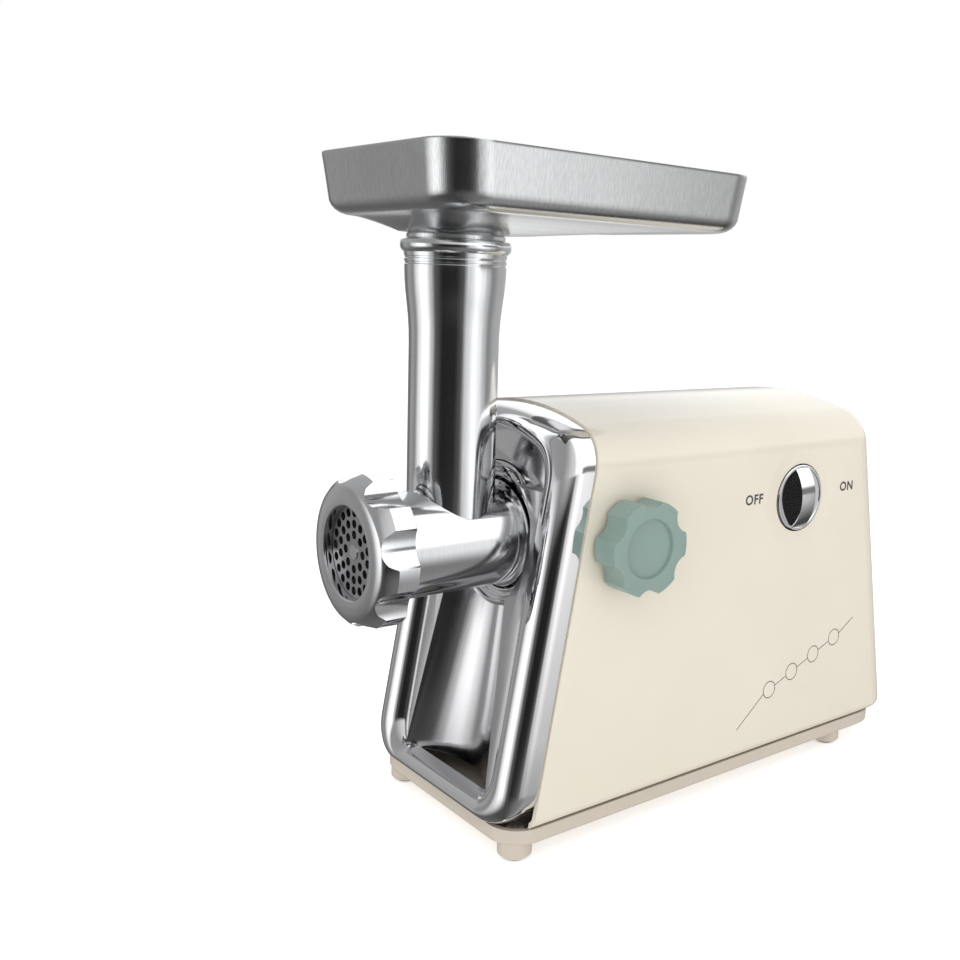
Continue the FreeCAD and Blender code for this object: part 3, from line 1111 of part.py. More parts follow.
def circuit_breaker():
    """The overload breaker that is reset with the switch off."""
    floor = TRAY_FLOOR + TRAY_WALL
    case = box((20, 44), (120, 150), (floor, floor + 24))
    tabs = [box((x, x + 0.8), (126, 132), (floor + 23, floor + 31)) for x in (26, 37)]
    return case.fuse(tabs)


def suppressor():
    """The suppression capacitor beside the motor's rear end."""
    floor = TRAY_FLOOR + TRAY_WALL
    can = Part.makeCylinder(9, 34, Vector(0, 130, floor))
    return can.makeFillet(1.5, [edge for edge in can.Edges if edge.BoundBox.ZMin > floor + 33])


# --- screws ------------------------------------------------------------------------------------
def base_screws():
    """The four screws up through the feet."""
    return group([screw((x, y, BASE_SCREW_Z), Z_AXIS, BASE_SCREW_LENGTH) for x, y in foot_places()])


def socket_screws():
    """The four screws that hold the drive socket on the gearbox."""
    return group([screw((x, GEARBOX_FRONT - 4, z), Y_AXIS, 6.0) for x, z in socket_screw_places()])


def gearbox_screws():
    """The screws round the gearbox cover."""
    return group([screw((x, COVER_REAR, z), Y_AXIS.negative(), 14.0) for x, z in gearbox_screw_places()])


# --- all nodes ---------------------------------------------------------------------------------
def build():
    """Every node of the part, by name."""
    mount_stations = (STATOR_FRONT + 2, STATOR_REAR - 14)
    nodes = {
        "main_housing": main_housing(),
        "base_tray": base_tray(),
        "front_cover": front_cover(),
        "socket_ring": socket_ring(),
        "drive_socket": drive_socket(),
        "lock_bushing": lock_bushing(),
        "lock_knob": lock_knob(),
        "lock_screw": lock_screw(),
        "lock_thrust_pad": lock_thrust_pad(),
        "switch_dial": switch_dial(),
        "switch_body": switch_body(),
        "switch_bracket": switch_bracket(),
        "head_casting": head_casting(),
        "auger": auger(),
        "knife": knife(),
        "hole_plate": hole_plate(),
        "ring_nut": ring_nut(),
        "meat_tray": meat_tray(),
        "output_gear": output_gear(),
        "output_shaft": output_shaft(),
        "second_wheel": second_wheel(),
        "second_pinion": second_pinion(),
        "first_wheel": first_wheel(),
        "first_pinion": first_pinion(),
        "motor_pinion": motor_pinion(),
        "second_axle": rod(AXLE_RADIUS, GEARBOX_FRONT + 1, COVER_REAR - 1, *SECOND_AXIS),
        "first_axle": rod(AXLE_RADIUS, GEARBOX_FRONT + 1, COVER_REAR - 1, *FIRST_AXIS),
        "gearbox_case": gearbox_case(),
        "gearbox_cover": gearbox_cover(),
        "output_bush_front": bush(GEARBOX_FRONT - 4, GEARBOX_FRONT + GEARBOX_WALL),
        "output_bush_rear": bush(GEARBOX_REAR, COVER_REAR),
        "stator_core": stator_core(),
        "field_coils": field_coils(),
        "motor_front_bracket": front_bracket(),
        "motor_rear_bracket": motor_bracket(MOTOR_REAR - 5, MOTOR_REAR, MOTOR_REAR - 7, MOTOR_REAR + 1),
        "front_bearing": motor_bearing(MOTOR_FRONT),
        "rear_bearing": motor_bearing(MOTOR_REAR - 6),
        "motor_shaft": motor_shaft(),
        "rotor_core": rotor_core(),
        "commutator": commutator(),
        "cooling_fan": cooling_fan(),
        "brush_board": brush_board(),
        "brush_holders": brush_piece(15.0, 31.0, BRUSH_WIDTH / 2 + 1.2, BRUSH_WIDTH / 2),
        "carbon_brushes": brush_piece(COMMUTATOR_RADIUS + 0.3, BRUSH_TAIL, BRUSH_WIDTH / 2, 0),
        "brush_springs": brush_springs(),
        "motor_mount_front": motor_mount(mount_stations[0]),
        "motor_mount_rear": motor_mount(mount_stations[1]),
        "motor_tie_bolts": tie_bolts(),
        "cord_gland": cord_gland(),
        "terminal_block": terminal_block(),
        "circuit_breaker": circuit_breaker(),
        "suppressor": suppressor(),
        "base_screws": base_screws(),
        "socket_screws": socket_screws(),
        "gearbox_screws": gearbox_screws(),
    }
    names = ("front_left", "front_right", "rear_left", "rear_right")
    for name, (x, y) in zip(names, foot_places()):
        nodes["foot_pad_" + name] = foot_pad(x, y)
    return nodes


def main():
    """Write one STEP file per node, moved to the origin of the whole outline."""
    os.makedirs("parts", exist_ok=True)
    for name, shape in build().items():
        shape.translate(Vector(-OUTLINE_CENTRE_X, -OUTLINE_CENTRE_Y, 0))
        shape.exportStep(os.path.join("parts", name + ".step"))


main()
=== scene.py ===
"""Electric meat grinder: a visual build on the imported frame.

Every length is in metres and +Z is up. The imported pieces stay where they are; new pieces are
modelled with Blender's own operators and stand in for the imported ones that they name.
"""
import json
import logging
import math
from dataclasses import dataclass, field
from enum import Enum
from typing import Any, Iterable, Sequence

import bpy
from mathutils import Matrix, Vector

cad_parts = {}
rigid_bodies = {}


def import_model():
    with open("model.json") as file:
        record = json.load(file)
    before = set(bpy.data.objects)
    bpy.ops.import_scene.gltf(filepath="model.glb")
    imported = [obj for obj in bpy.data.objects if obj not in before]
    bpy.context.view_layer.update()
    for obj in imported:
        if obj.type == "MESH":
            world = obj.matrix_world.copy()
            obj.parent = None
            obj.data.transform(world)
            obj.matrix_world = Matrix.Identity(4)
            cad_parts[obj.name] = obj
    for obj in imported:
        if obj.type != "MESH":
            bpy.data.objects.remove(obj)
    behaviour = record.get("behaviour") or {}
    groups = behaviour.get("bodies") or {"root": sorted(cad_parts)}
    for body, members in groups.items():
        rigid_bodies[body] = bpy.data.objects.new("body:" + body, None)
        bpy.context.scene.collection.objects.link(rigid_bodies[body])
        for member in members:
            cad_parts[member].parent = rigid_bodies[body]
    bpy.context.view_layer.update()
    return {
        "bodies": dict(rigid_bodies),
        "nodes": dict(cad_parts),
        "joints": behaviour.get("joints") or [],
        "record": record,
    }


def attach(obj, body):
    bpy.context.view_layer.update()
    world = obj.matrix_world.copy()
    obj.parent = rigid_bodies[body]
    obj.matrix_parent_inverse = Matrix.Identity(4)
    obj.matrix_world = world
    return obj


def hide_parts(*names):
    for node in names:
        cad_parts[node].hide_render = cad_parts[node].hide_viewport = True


LOG = logging.getLogger("meat_grinder")
MM = 0.001
MERGE_DISTANCE = 0.002 * MM

# The pieces are laid out about the centre of the feet; the frame's origin is the outline's centre.
LAYOUT_SHIFT = Vector((-9.25, 8.1, 0.0))

Colour = tuple[float, float, float]
Point = tuple[float, float, float]


def at(x: float, y: float, z: float) -> Vector:
    """Turn a place in the layout's millimetres into the frame's metres.

    Args:
        x: Sideways place from the plane of the barrel.
        y: Place along the barrel, negative towards the grinding end.
        z: Height above the floor.

    Returns:
        The same place in metres in the frame.
    """
    return (Vector((x, y, z)) + LAYOUT_SHIFT) * MM


class Grain(Enum):
    """The way that the fine lines of a worked surface run."""

    NONE = (1.0, 1.0, 1.0)
    UPRIGHT = (1.0, 1.0, 0.012)
    ROUND_BARREL = (0.05, 1.0, 0.05)
    ACROSS = (0.02, 1.0, 1.0)


# --- finishes ----------------------------------------------------------------------------------
class Graph:
    """A material being wired: one shader, its output and the nodes that feed it."""

    def __init__(self, name: str) -> None:
        """Start an empty material.

        Args:
            name: The material's name.
        """
        self.material = bpy.data.materials.new(name)
        self.material.use_nodes = True
        self.tree = self.material.node_tree
        self.tree.nodes.clear()
        self.shader = self.tree.nodes.new("ShaderNodeBsdfPrincipled")
        output = self.tree.nodes.new("ShaderNodeOutputMaterial")
        self.link(self.shader.outputs[0], output.inputs["Surface"])
        self.coordinates = self.tree.nodes.new("ShaderNodeTexCoord").outputs["Object"]

    def link(self, source: Any, target: Any) -> None:
        """Join two sockets.

        Args:
            source: The output socket.
            target: The input socket.
        """
        self.tree.links.new(source, target)

    def set(self, **values: Any) -> None:
        """Set constants on the shader.

        Args:
            values: Constants by input name, with underscores for spaces.
        """
        for key, value in values.items():
            self.shader.inputs[key.replace("_", " ")].default_value = value

    def paint(self, colour: Any, roughness: Any) -> None:
        """Give the shader its colour and its roughness.

        Args:
            colour: The colour socket.
            roughness: The roughness socket.
        """
        self.link(colour, self.shader.inputs["Base Color"])
        self.link(roughness, self.shader.inputs["Roughness"])

    def noise(self, scale: float, detail: float = 3.0, rough: float = 0.5, stretch: Point = (1, 1, 1)) -> Any:
        """A noise pattern in object coordinates.

        Args:
            scale: Cells per metre.
            detail: Octaves.
            rough: Weight of the finer octaves.
            stretch: Stretch of the coordinates.

        Returns:
            The factor output socket.
        """
        node = self.tree.nodes.new("ShaderNodeTexNoise")
        node.inputs["Scale"].default_value = scale
        node.inputs["Detail"].default_value = detail
        node.inputs["Roughness"].default_value = rough
        mapping = self.tree.nodes.new("ShaderNodeMapping")
        mapping.inputs["Scale"].default_value = stretch
        self.link(self.coordinates, mapping.inputs["Vector"])
        self.link(mapping.outputs["Vector"], node.inputs["Vector"])
        return node.outputs["Fac"]

    def spread(self, factor: Any, low: float, high: float, start: float = 0.3, end: float = 0.7) -> Any:
        """Spread a factor over a range of numbers.

        Args:
            factor: The output socket to spread.
            low: Number given where the factor is at start.
            high: Number given where the factor is at end.
            start: Lower end of the factor's span.
            end: Upper end of the factor's span.

        Returns:
            The value output socket.
        """
        node = self.tree.nodes.new("ShaderNodeMapRange")
        node.inputs["From Min"].default_value = start
        node.inputs["From Max"].default_value = end
        node.inputs["To Min"].default_value = low
        node.inputs["To Max"].default_value = high
        self.link(factor, node.inputs["Value"])
        return node.outputs["Result"]

    def blend(self, factor: Any, first: Colour, second: Colour) -> Any:
        """Mix two colours by a factor.

        Args:
            factor: The mixing socket.
            first: Colour at nought.
            second: Colour at one.

        Returns:
            The colour output socket.
        """
        node = self.tree.nodes.new("ShaderNodeMix")
        node.data_type = "RGBA"
        node.inputs["A"].default_value = (*first, 1.0)
        node.inputs["B"].default_value = (*second, 1.0)
        self.link(factor, node.inputs["Factor"])
        return node.outputs["Result"]

    def bump(self, *layers: tuple[Any, float, float]) -> None:
        """Stack bump layers onto the shader's normal.

        Args:
            layers: Height socket, strength and distance in metres of each layer.
        """
        normal = None
        for height, strength, distance in layers:
            node = self.tree.nodes.new("ShaderNodeBump")
            node.inputs["Strength"].default_value = strength
            node.inputs["Distance"].default_value = distance
            self.link(height, node.inputs["Height"])
            if normal is not None:
                self.link(normal, node.inputs["Normal"])
            normal = node.outputs["Normal"]
        if normal is not None:
            self.link(normal, self.shader.inputs["Normal"])


@dataclass(frozen=True)
class Finish:
    """A material by name, with its colour and the second colour that breaks it up."""

    name: str
    colour: Colour
    second: Colour

    def build(self) -> bpy.types.Material:
        """Make the material.

        Returns:
            The material.
        """
        graph = Graph(self.name)
        self.wire(graph)
        return graph.material

    def wire(self, graph: Graph) -> None:
        """Wire the pattern of the finish.

        Args:
            graph: The material being wired.
        """
        raise NotImplementedError


@dataclass(frozen=True)
class MouldedPlastic(Finish):
    """Injection-moulded plastic with flow mottling and a fine skin."""

    gloss: tuple[float, float] = (0.16, 0.24)
    coat: float = 0.0
    skin_scale: float = 900.0
    skin_depth: float = 0.03
    wave_depth: float = 0.0

    def wire(self, graph: Graph) -> None:
        """Mottle the colour, vary the gloss and roughen the skin."""
        graph.paint(graph.blend(graph.spread(graph.noise(14.0, 4.0), 0.0, 1.0), self.colour, self.second),
                    graph.spread(graph.noise(55.0, 5.0, 0.6), *self.gloss))
        graph.set(IOR=1.5, Coat_Weight=self.coat, Coat_Roughness=0.06)
        layers = [(graph.noise(self.skin_scale, 2.0), self.skin_depth, 0.0004)]
        if self.wave_depth:
            layers.append((graph.noise(18.0, 1.0), self.wave_depth, 0.002))
        graph.bump(*layers)


@dataclass(frozen=True)
class WorkedMetal(Finish):
    """Metal with grain lines, smudges and a slight unevenness."""

    gloss: tuple[float, float] = (0.08, 0.16)
    grain: Grain = Grain.NONE
    grain_scale: float = 2600.0
    grain_depth: float = 0.04
    uneven: float = 0.0
    stretch: float = 0.0

    def wire(self, graph: Graph) -> None:
        """Draw the grain in colour, gloss and height, under smudges."""
        lines = graph.noise(self.grain_scale, 3.0, 0.6, self.grain.value)
        total = graph.tree.nodes.new("ShaderNodeMath")
        total.operation = "ADD"
        graph.link(graph.spread(graph.noise(28.0, 5.0, 0.62), *self.gloss), total.inputs[0])
        graph.link(graph.spread(lines, -0.02, 0.03), total.inputs[1])
        graph.paint(graph.blend(graph.spread(lines, 0.0, 1.0), self.colour, self.second), total.outputs[0])
        graph.set(Metallic=1.0, Anisotropic=self.stretch)
        layers = [(lines, self.grain_depth, 0.0003)]
        if self.uneven:
            layers.append((graph.noise(26.0, 1.0), self.uneven, 0.002))
        graph.bump(*layers)


@dataclass(frozen=True)
class CastMetal(Finish):
    """Sand-cast or die-cast metal under a thin coat of paint."""

    metal: float = 0.6

    def wire(self, graph: Graph) -> None:
        """Wear the paint and roughen the skin with grit."""
        grit = graph.noise(700.0, 6.0, 0.7)
        wear = graph.spread(graph.noise(60.0, 8.0, 0.7), 0.0, 1.0, 0.5, 0.68)
        graph.paint(graph.blend(wear, self.colour, self.second), graph.spread(grit, 0.42, 0.62))
        graph.set(Metallic=self.metal)
        graph.bump((grit, 0.35, 0.0006), (graph.noise(120.0, 2.0), 0.15, 0.001))


@dataclass(frozen=True)
class Rubber(Finish):
    """Matt rubber with a dusty bloom and a stippled skin."""

    def wire(self, graph: Graph) -> None:
        """Lay the bloom over the rubber and stipple it."""
        bloom = graph.spread(graph.noise(90.0, 6.0, 0.7), 0.0, 1.0)
        graph.paint(graph.blend(bloom, self.colour, self.second), graph.spread(graph.noise(300.0), 0.55, 0.8))
        graph.bump((graph.noise(2200.0, 2.0), 0.25, 0.0003))


@dataclass(frozen=True)
class Banded(Finish):
    """A stack or winding whose layers show as fine bands."""

    axis: str
    bands_per_metre: float
    metal: float
    roughness: float
    wander: float = 0.0

    def wire(self, graph: Graph) -> None:
        """Band the colour and the height along one axis."""
        wave = graph.tree.nodes.new("ShaderNodeTexWave")
        wave.bands_direction = self.axis
        wave.inputs["Scale"].default_value = self.bands_per_metre
        wave.inputs["Distortion"].default_value = self.wander
        graph.link(graph.coordinates, wave.inputs["Vector"])
        bands = wave.outputs["Fac"]
        graph.paint(graph.blend(bands, self.second, self.colour),
                    graph.spread(graph.noise(200.0, 4.0), self.roughness - 0.06, self.roughness + 0.08))
        graph.set(Metallic=self.metal)
        graph.bump((bands, 0.5, 0.0004), (graph.noise(900.0), 0.1, 0.0003))


FINISHES: dict[str, Finish] = {
    "cream_plastic": MouldedPlastic("body_cream", (0.71, 0.662, 0.562), (0.688, 0.637, 0.535), (0.10, 0.17),
                                    0.35, 1400.0, 0.012, 0.10),
    "cream_base": MouldedPlastic("base_cream", (0.56, 0.50, 0.425), (0.53, 0.47, 0.40), (0.32, 0.44),
                                 0.0, 1500.0, 0.08),
    "black_rubber": Rubber("foot_rubber", (0.018, 0.018, 0.019), (0.035, 0.034, 0.033)),
    "chrome_plate": WorkedMetal("bright_plate", (0.90, 0.90, 0.91), (0.87, 0.87, 0.885), (0.035, 0.07),
                                Grain.NONE, 1800.0, 0.006, 0.05),
    "steel_polished": WorkedMetal("polished_steel", (0.62, 0.62, 0.63), (0.56, 0.56, 0.575), (0.10, 0.18)),
    "steel_brushed": WorkedMetal("brushed_tray_steel", (0.80, 0.805, 0.81), (0.66, 0.665, 0.675),
                                 (0.12, 0.20), Grain.UPRIGHT, 1500.0, 0.10, 0.03, 0.5),
    "aluminium_polished": WorkedMetal("polished_casting", (0.88, 0.885, 0.895), (0.82, 0.825, 0.84),
                                      (0.08, 0.14), Grain.ROUND_BARREL, 1100.0, 0.03, 0.06),
    "cast_grey": CastMetal("grey_casting", (0.33, 0.335, 0.345), (0.55, 0.55, 0.56)),
    "sage_plastic": MouldedPlastic("sage_knob", (0.222, 0.310, 0.279), (0.207, 0.290, 0.261), (0.27, 0.37),
                                   0.12, 2600.0, 0.12),
    "steel_plain": WorkedMetal("turned_steel", (0.56, 0.56, 0.57), (0.47, 0.47, 0.485), (0.22, 0.36),
                               Grain.ROUND_BARREL, 1600.0, 0.10),
    "bronze": WorkedMetal("sintered_bronze", (0.55, 0.37, 0.17), (0.46, 0.30, 0.14), (0.34, 0.5),
                          Grain.NONE, 2600.0, 0.2),
    "brass": WorkedMetal("turned_brass", (0.72, 0.54, 0.25), (0.62, 0.46, 0.20), (0.18, 0.32),
                         Grain.ACROSS, 1500.0, 0.08),
    "nylon_white": MouldedPlastic("greased_nylon", (0.72, 0.70, 0.63), (0.60, 0.57, 0.48), (0.28, 0.42),
                                  0.2, 600.0, 0.05),
    "black_plastic": MouldedPlastic("phenolic_black", (0.026, 0.026, 0.028), (0.045, 0.044, 0.043),
                                    (0.32, 0.48), 0.0, 1700.0, 0.10),
    "copper_winding": Banded("varnished_winding", (0.62, 0.24, 0.10), (0.22, 0.07, 0.03), "Y", 900.0,
                             0.8, 0.28, 0.6),
    "laminations": Banded("lamination_stack", (0.30, 0.30, 0.31), (0.10, 0.10, 0.11), "Y", 620.0, 0.9, 0.42),
    "carbon": MouldedPlastic("pressed_carbon", (0.03, 0.03, 0.03), (0.055, 0.055, 0.058), (0.45, 0.62),
                             0.0, 2400.0, 0.2),
    "grey_rubber": Rubber("mount_rubber", (0.07, 0.07, 0.072), (0.12, 0.12, 0.118)),
    "panel_plate": WorkedMetal("satin_panel_plate", (0.80, 0.80, 0.81), (0.76, 0.76, 0.775), (0.12, 0.18),
                               Grain.NONE, 1500.0, 0.01, 0.06),
    "print_ink": MouldedPlastic("printed_ink", (0.045, 0.045, 0.05), (0.06, 0.06, 0.065), (0.4, 0.5), 0.0,
                                2000.0, 0.05),
    "blue_film": MouldedPlastic("film_case", (0.03, 0.09, 0.30), (0.045, 0.12, 0.36), (0.18, 0.28), 0.3),
}
"""One finish for each material slot of the record, and two of the visual model's own."""


@dataclass
class PaintShop:
    """Makes each finish once and puts it on pieces."""

    made: dict[str, bpy.types.Material] = field(default_factory=dict)

    def finish(self, slot: str) -> bpy.types.Material:
        """The material of a record slot.

        Args:
            slot: The record's material slot.

        Returns:
            The material, made at its first use.
        """
        if slot not in self.made:
            self.made[slot] = FINISHES[slot].build()
        return self.made[slot]

    def coat(self, piece: bpy.types.Object, slot: str) -> None:
        """Give a piece one finish.

        Args:
            piece: The piece.
            slot: The record's material slot.
        """
        if not piece.material_slots:
            piece.data.materials.append(None)
        for holder in piece.material_slots:
            holder.material = self.finish(slot)

    def coat_carried(self, frame: Any) -> None:
        """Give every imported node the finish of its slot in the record.

        Args:
            frame: The loaded frame.
        """
        for part in frame["record"]["subparts"]:
            self.coat(frame["nodes"][part["node"]], part["material_slot"])


# --- studio ------------------------------------------------------------------------------------
@dataclass(frozen=True)
class Softbox:
    """A rectangular light aimed at a place on the object."""

    name: str
    place: Point
    aim: Point
    size: tuple[float, float]
    power: float

    def build(self) -> None:
        """Add the light."""
        bpy.ops.object.light_add(type="AREA", location=at(*self.place))
        lamp = bpy.context.object
        lamp.name = self.name
        lamp.data.shape = "RECTANGLE"
        lamp.data.size, lamp.data.size_y = self.size
        lamp.data.energy = self.power
        lamp.rotation_euler = (at(*self.aim) - at(*self.place)).to_track_quat("-Z", "Y").to_euler()
        lamp.visible_glossy = False


@dataclass(frozen=True)
class Surround:
    """The room: white for the eye and for soft light, and banded where polished metal mirrors it.

    The stops are (share of a turn, brightness); a share of 0.5 looks along +X and 0.75 along +Y.
    """

    horizon: tuple[tuple[float, float], ...] = (
        (0.0, 0.12), (0.05, 0.26), (0.10, 0.20), (0.145, 0.68), (0.18, 1.0), (0.215, 0.95), (0.25, 0.42),
        (0.28, 0.07), (0.335, 0.012), (0.415, 0.014), (0.46, 0.06), (0.50, 0.55), (0.5625, 0.95),
        (0.60, 0.72), (0.635, 0.42), (0.675, 0.20), (0.75, 0.32), (0.88, 0.35), (1.0, 0.12))
    sky: tuple[tuple[float, float], ...] = (
        (0.0, 0.30), (0.25, 0.22), (0.42, 0.5), (0.5, 1.0), (0.8, 1.0), (0.86, 0.95), (0.93, 0.8),
        (1.0, 0.30))
    ground: tuple[tuple[float, float], ...] = (
        (0.0, 0.10), (0.3, 0.05), (0.5, 0.14), (0.62, 0.24), (0.72, 0.05), (0.84, 0.05), (0.87, 0.9),
        (0.92, 0.9), (0.95, 0.10), (1.0, 0.10))
    card: Colour = (0.16, 0.16, 0.16)
    soft: float = 0.70
    mirrored: float = 1.35

    def build(self) -> None:
        """Wire the world."""
        world = bpy.data.worlds.new("surround")
        world.use_nodes = True
        tree = world.node_tree
        tree.nodes.clear()
        direction = tree.nodes.new("ShaderNodeTexCoord").outputs["Generated"]
        parts = tree.nodes.new("ShaderNodeSeparateXYZ")
        tree.links.new(direction, parts.inputs[0])
        turn = self._math(tree, "ARCTAN2", parts.outputs["Y"], parts.outputs["X"])
        share = self._math(tree, "MULTIPLY_ADD", turn, 1 / (2 * math.pi), 0.5)
        height = parts.outputs["Z"]
        level = self._ramp(tree, share, self.horizon)
        level = self._mix(tree, self._over(tree, height, 0.0, 0.16), level, self._ramp(tree, share, self.sky))
        level = self._mix(tree, self._card(tree, share, height), level, self.card)
        below = self._math(tree, "MULTIPLY", height, -1.0)
        level = self._mix(tree, self._over(tree, below, 0.12, 0.62), level,
                          self._ramp(tree, share, self.ground))
        path = tree.nodes.new("ShaderNodeLightPath")
        mirror = self._glow(tree, self.mirrored)
        tree.links.new(level, mirror.inputs["Color"])
        shown = self._choose(tree, path.outputs["Is Glossy Ray"], self._glow(tree, self.soft), mirror)
        shown = self._choose(tree, path.outputs["Is Camera Ray"], shown, self._glow(tree, 1.0))
        output = tree.nodes.new("ShaderNodeOutputWorld")
        tree.links.new(shown.outputs[0], output.inputs["Surface"])
        bpy.context.scene.world = world

    def _card(self, tree: Any, share: Any, height: Any) -> Any:
        """Where the grey card stands: low on the horizon, between +X and +Y.

        Args:
            tree: The world's node tree.
            share: Socket with the share of a turn.
            height: Socket with the direction's Z.

        Returns:
            Socket that is one on the card and nought off it.
        """
        reach = [self._over(tree, share, 0.55, 0.58), self._over(tree, share, 0.70, 0.66),
                 self._over(tree, height, -0.06, 0.02), self._over(tree, height, 0.24, 0.12)]
        covered = reach[0]
        for edge in reach[1:]:
            covered = self._math(tree, "MULTIPLY", covered, edge)
        return covered

    @staticmethod
    def _glow(tree: Any, strength: float) -> Any:
        """A white background of one strength.

        Args:
            tree: The world's node tree.
            strength: Its strength.

        Returns:
            The node.
        """
        node = tree.nodes.new("ShaderNodeBackground")
        node.inputs["Color"].default_value = (1.0, 1.0, 1.0, 1.0)
        node.inputs["Strength"].default_value = strength
        return node

    @staticmethod
    def _choose(tree: Any, factor: Any, usual: Any, special: Any) -> Any:
        """Show one node or the other by the kind of ray.

        Args:
            tree: The world's node tree.
            factor: Socket that is one for the special rays.
            usual: Node shown to the other rays.
            special: Node shown to the special rays.

        Returns:
            The mixing node.
        """
        node = tree.nodes.new("ShaderNodeMixShader")
        for source, target in zip((factor, usual.outputs[0], special.outputs[0]), node.inputs):
            tree.links.new(source, target)
        return node

    @staticmethod
    def _math(tree: Any, operation: str, *values: Any) -> Any:
        """One arithmetic node.

        Args:
            tree: The world's node tree.
            operation: The node's operation.
            values: Its inputs, as sockets or numbers.

        Returns:
            The result socket.
        """
        node = tree.nodes.new("ShaderNodeMath")
        node.operation = operation
        for value, socket in zip(values, node.inputs):
            if isinstance(value, float):
                socket.default_value = value
            else:
                tree.links.new(value, socket)
        return node.outputs[0]

    @staticmethod
    def _over(tree: Any, value: Any, start: float, end: float) -> Any:
        """A smooth step between two values.

        Args:
            tree: The world's node tree.
            value: The socket that is stepped.
            start: Value at which the step is nought.
            end: Value at which the step is one.

        Returns:
            The step socket.
        """
        node = tree.nodes.new("ShaderNodeMapRange")
        node.interpolation_type = "SMOOTHSTEP"
        node.inputs["From Min"].default_value = start
        node.inputs["From Max"].default_value = end
        tree.links.new(value, node.inputs["Value"])
        return node.outputs["Result"]

    @staticmethod
    def _ramp(tree: Any, share: Any, stops: Sequence[tuple[float, float]]) -> Any:
        """A grey ramp.

        Args:
            tree: The world's node tree.
            share: Socket that runs along the ramp.
            stops: Place and brightness of each stop.

        Returns:
            The colour socket.
        """
        node = tree.nodes.new("ShaderNodeValToRGB")
        node.color_ramp.interpolation = "EASE"
        elements = node.color_ramp.elements
        for position, level in stops[1:-1]:
            elements.new(position).color = (level, level, level, 1.0)
        elements[0].color = (stops[0][1],) * 3 + (1.0,)
        elements[-1].color = (stops[-1][1],) * 3 + (1.0,)
        tree.links.new(share, node.inputs["Fac"])
        return node.outputs["Color"]

    @staticmethod
    def _mix(tree: Any, factor: Any, first: Any, second: Any) -> Any:
        """Blend a colour socket with another colour.

        Args:
            tree: The world's node tree.
            factor: The mixing socket.
            first: Socket shown at nought.
            second: Socket or plain colour shown at one.

        Returns:
            The colour socket.
        """
        node = tree.nodes.new("ShaderNodeMix")
        node.data_type = "RGBA"
        tree.links.new(factor, node.inputs["Factor"])
        tree.links.new(first, node.inputs["A"])
        if isinstance(second, tuple):
            node.inputs["B"].default_value = (*second, 1.0)
        else:
            tree.links.new(second, node.inputs["B"])
        return node.outputs["Result"]


@dataclass
class Studio:
    """The pale floor, the bright surround, the lights and the camera."""

    surround: Surround = field(default_factory=Surround)
    lights: tuple[Softbox, ...] = (
        Softbox("key", (500.0, -900.0, 1150.0), (0.0, -60.0, 200.0), (0.9, 0.9), 3.4),
        Softbox("side", (1150.0, 200.0, 600.0), (40.0, 0.0, 150.0), (0.8, 1.1), 1.7),
        Softbox("front", (350.0, -1300.0, 350.0), (60.0, -60.0, 180.0), (0.8, 0.8), 2.4),
        Softbox("top", (0.0, 100.0, 1300.0), (0.0, 0.0, 200.0), (1.1, 1.1), 4.8),
    )

    def build(self) -> None:
        """Set up the whole studio."""
        bpy.context.scene.view_settings.view_transform = "Standard"
        self.surround.build()
        self._floor()
        for light in self.lights:
            light.build()
        self._camera()

    def _floor(self) -> None:
        """Lay the pale floor."""
        bpy.ops.mesh.primitive_plane_add(size=60.0, location=(0.0, 0.0, 0.0))
        floor = bpy.context.object
        floor.name = "studio_floor"
        graph = Graph("floor_paper")
        graph.set(Base_Color=(0.93, 0.93, 0.93, 1.0), Roughness=0.6, Emission_Color=(1.0, 1.0, 1.0, 1.0),
                  Emission_Strength=0.45)
        graph.bump((graph.noise(40.0), 0.02, 0.001))
        floor.data.materials.append(graph.material)
        floor.visible_glossy = False

    def _camera(self) -> None:
        """Place the camera in front of the switch side, a little above the barrel."""
        data = bpy.data.cameras.new("lens")
        data.lens = 40.93
        data.sensor_width = 36.0
        data.shift_x = -0.128
        data.shift_y = -0.032
        data.clip_start = 0.01
        camera = bpy.data.objects.new("camera", data)
        bpy.context.scene.collection.objects.link(camera)
        across = Vector((0.6442, 0.7637, 0.0420))
        upward = Vector((-0.1429, 0.0662, 0.9875))
        back = Vector((0.7514, -0.6421, 0.1518))
        turn = Matrix((across, upward, back)).transposed().to_4x4()
        camera.matrix_world = Matrix.Translation(at(520.3, -478.5, 320.5)) @ turn
        bpy.context.scene.camera = camera


# --- bench: ways of making a piece --------------------------------------------------------------
@dataclass(frozen=True)
class Spindle:
    """An axis to turn a piece about, in layout millimetres.

    Heights of an outline run along the axis from its origin, and radii run along the side.
    """

    origin: Point
    axis: Point
    side: Point

    def place(self, radius: float, height: float) -> Vector:
        """Where an outline point lies.

        Args:
            radius: Distance from the axis.
            height: Distance along the axis.

        Returns:
            The place in metres.
        """
        spot = Vector(self.origin) + Vector(self.axis) * height + Vector(self.side) * radius
        return at(*spot)


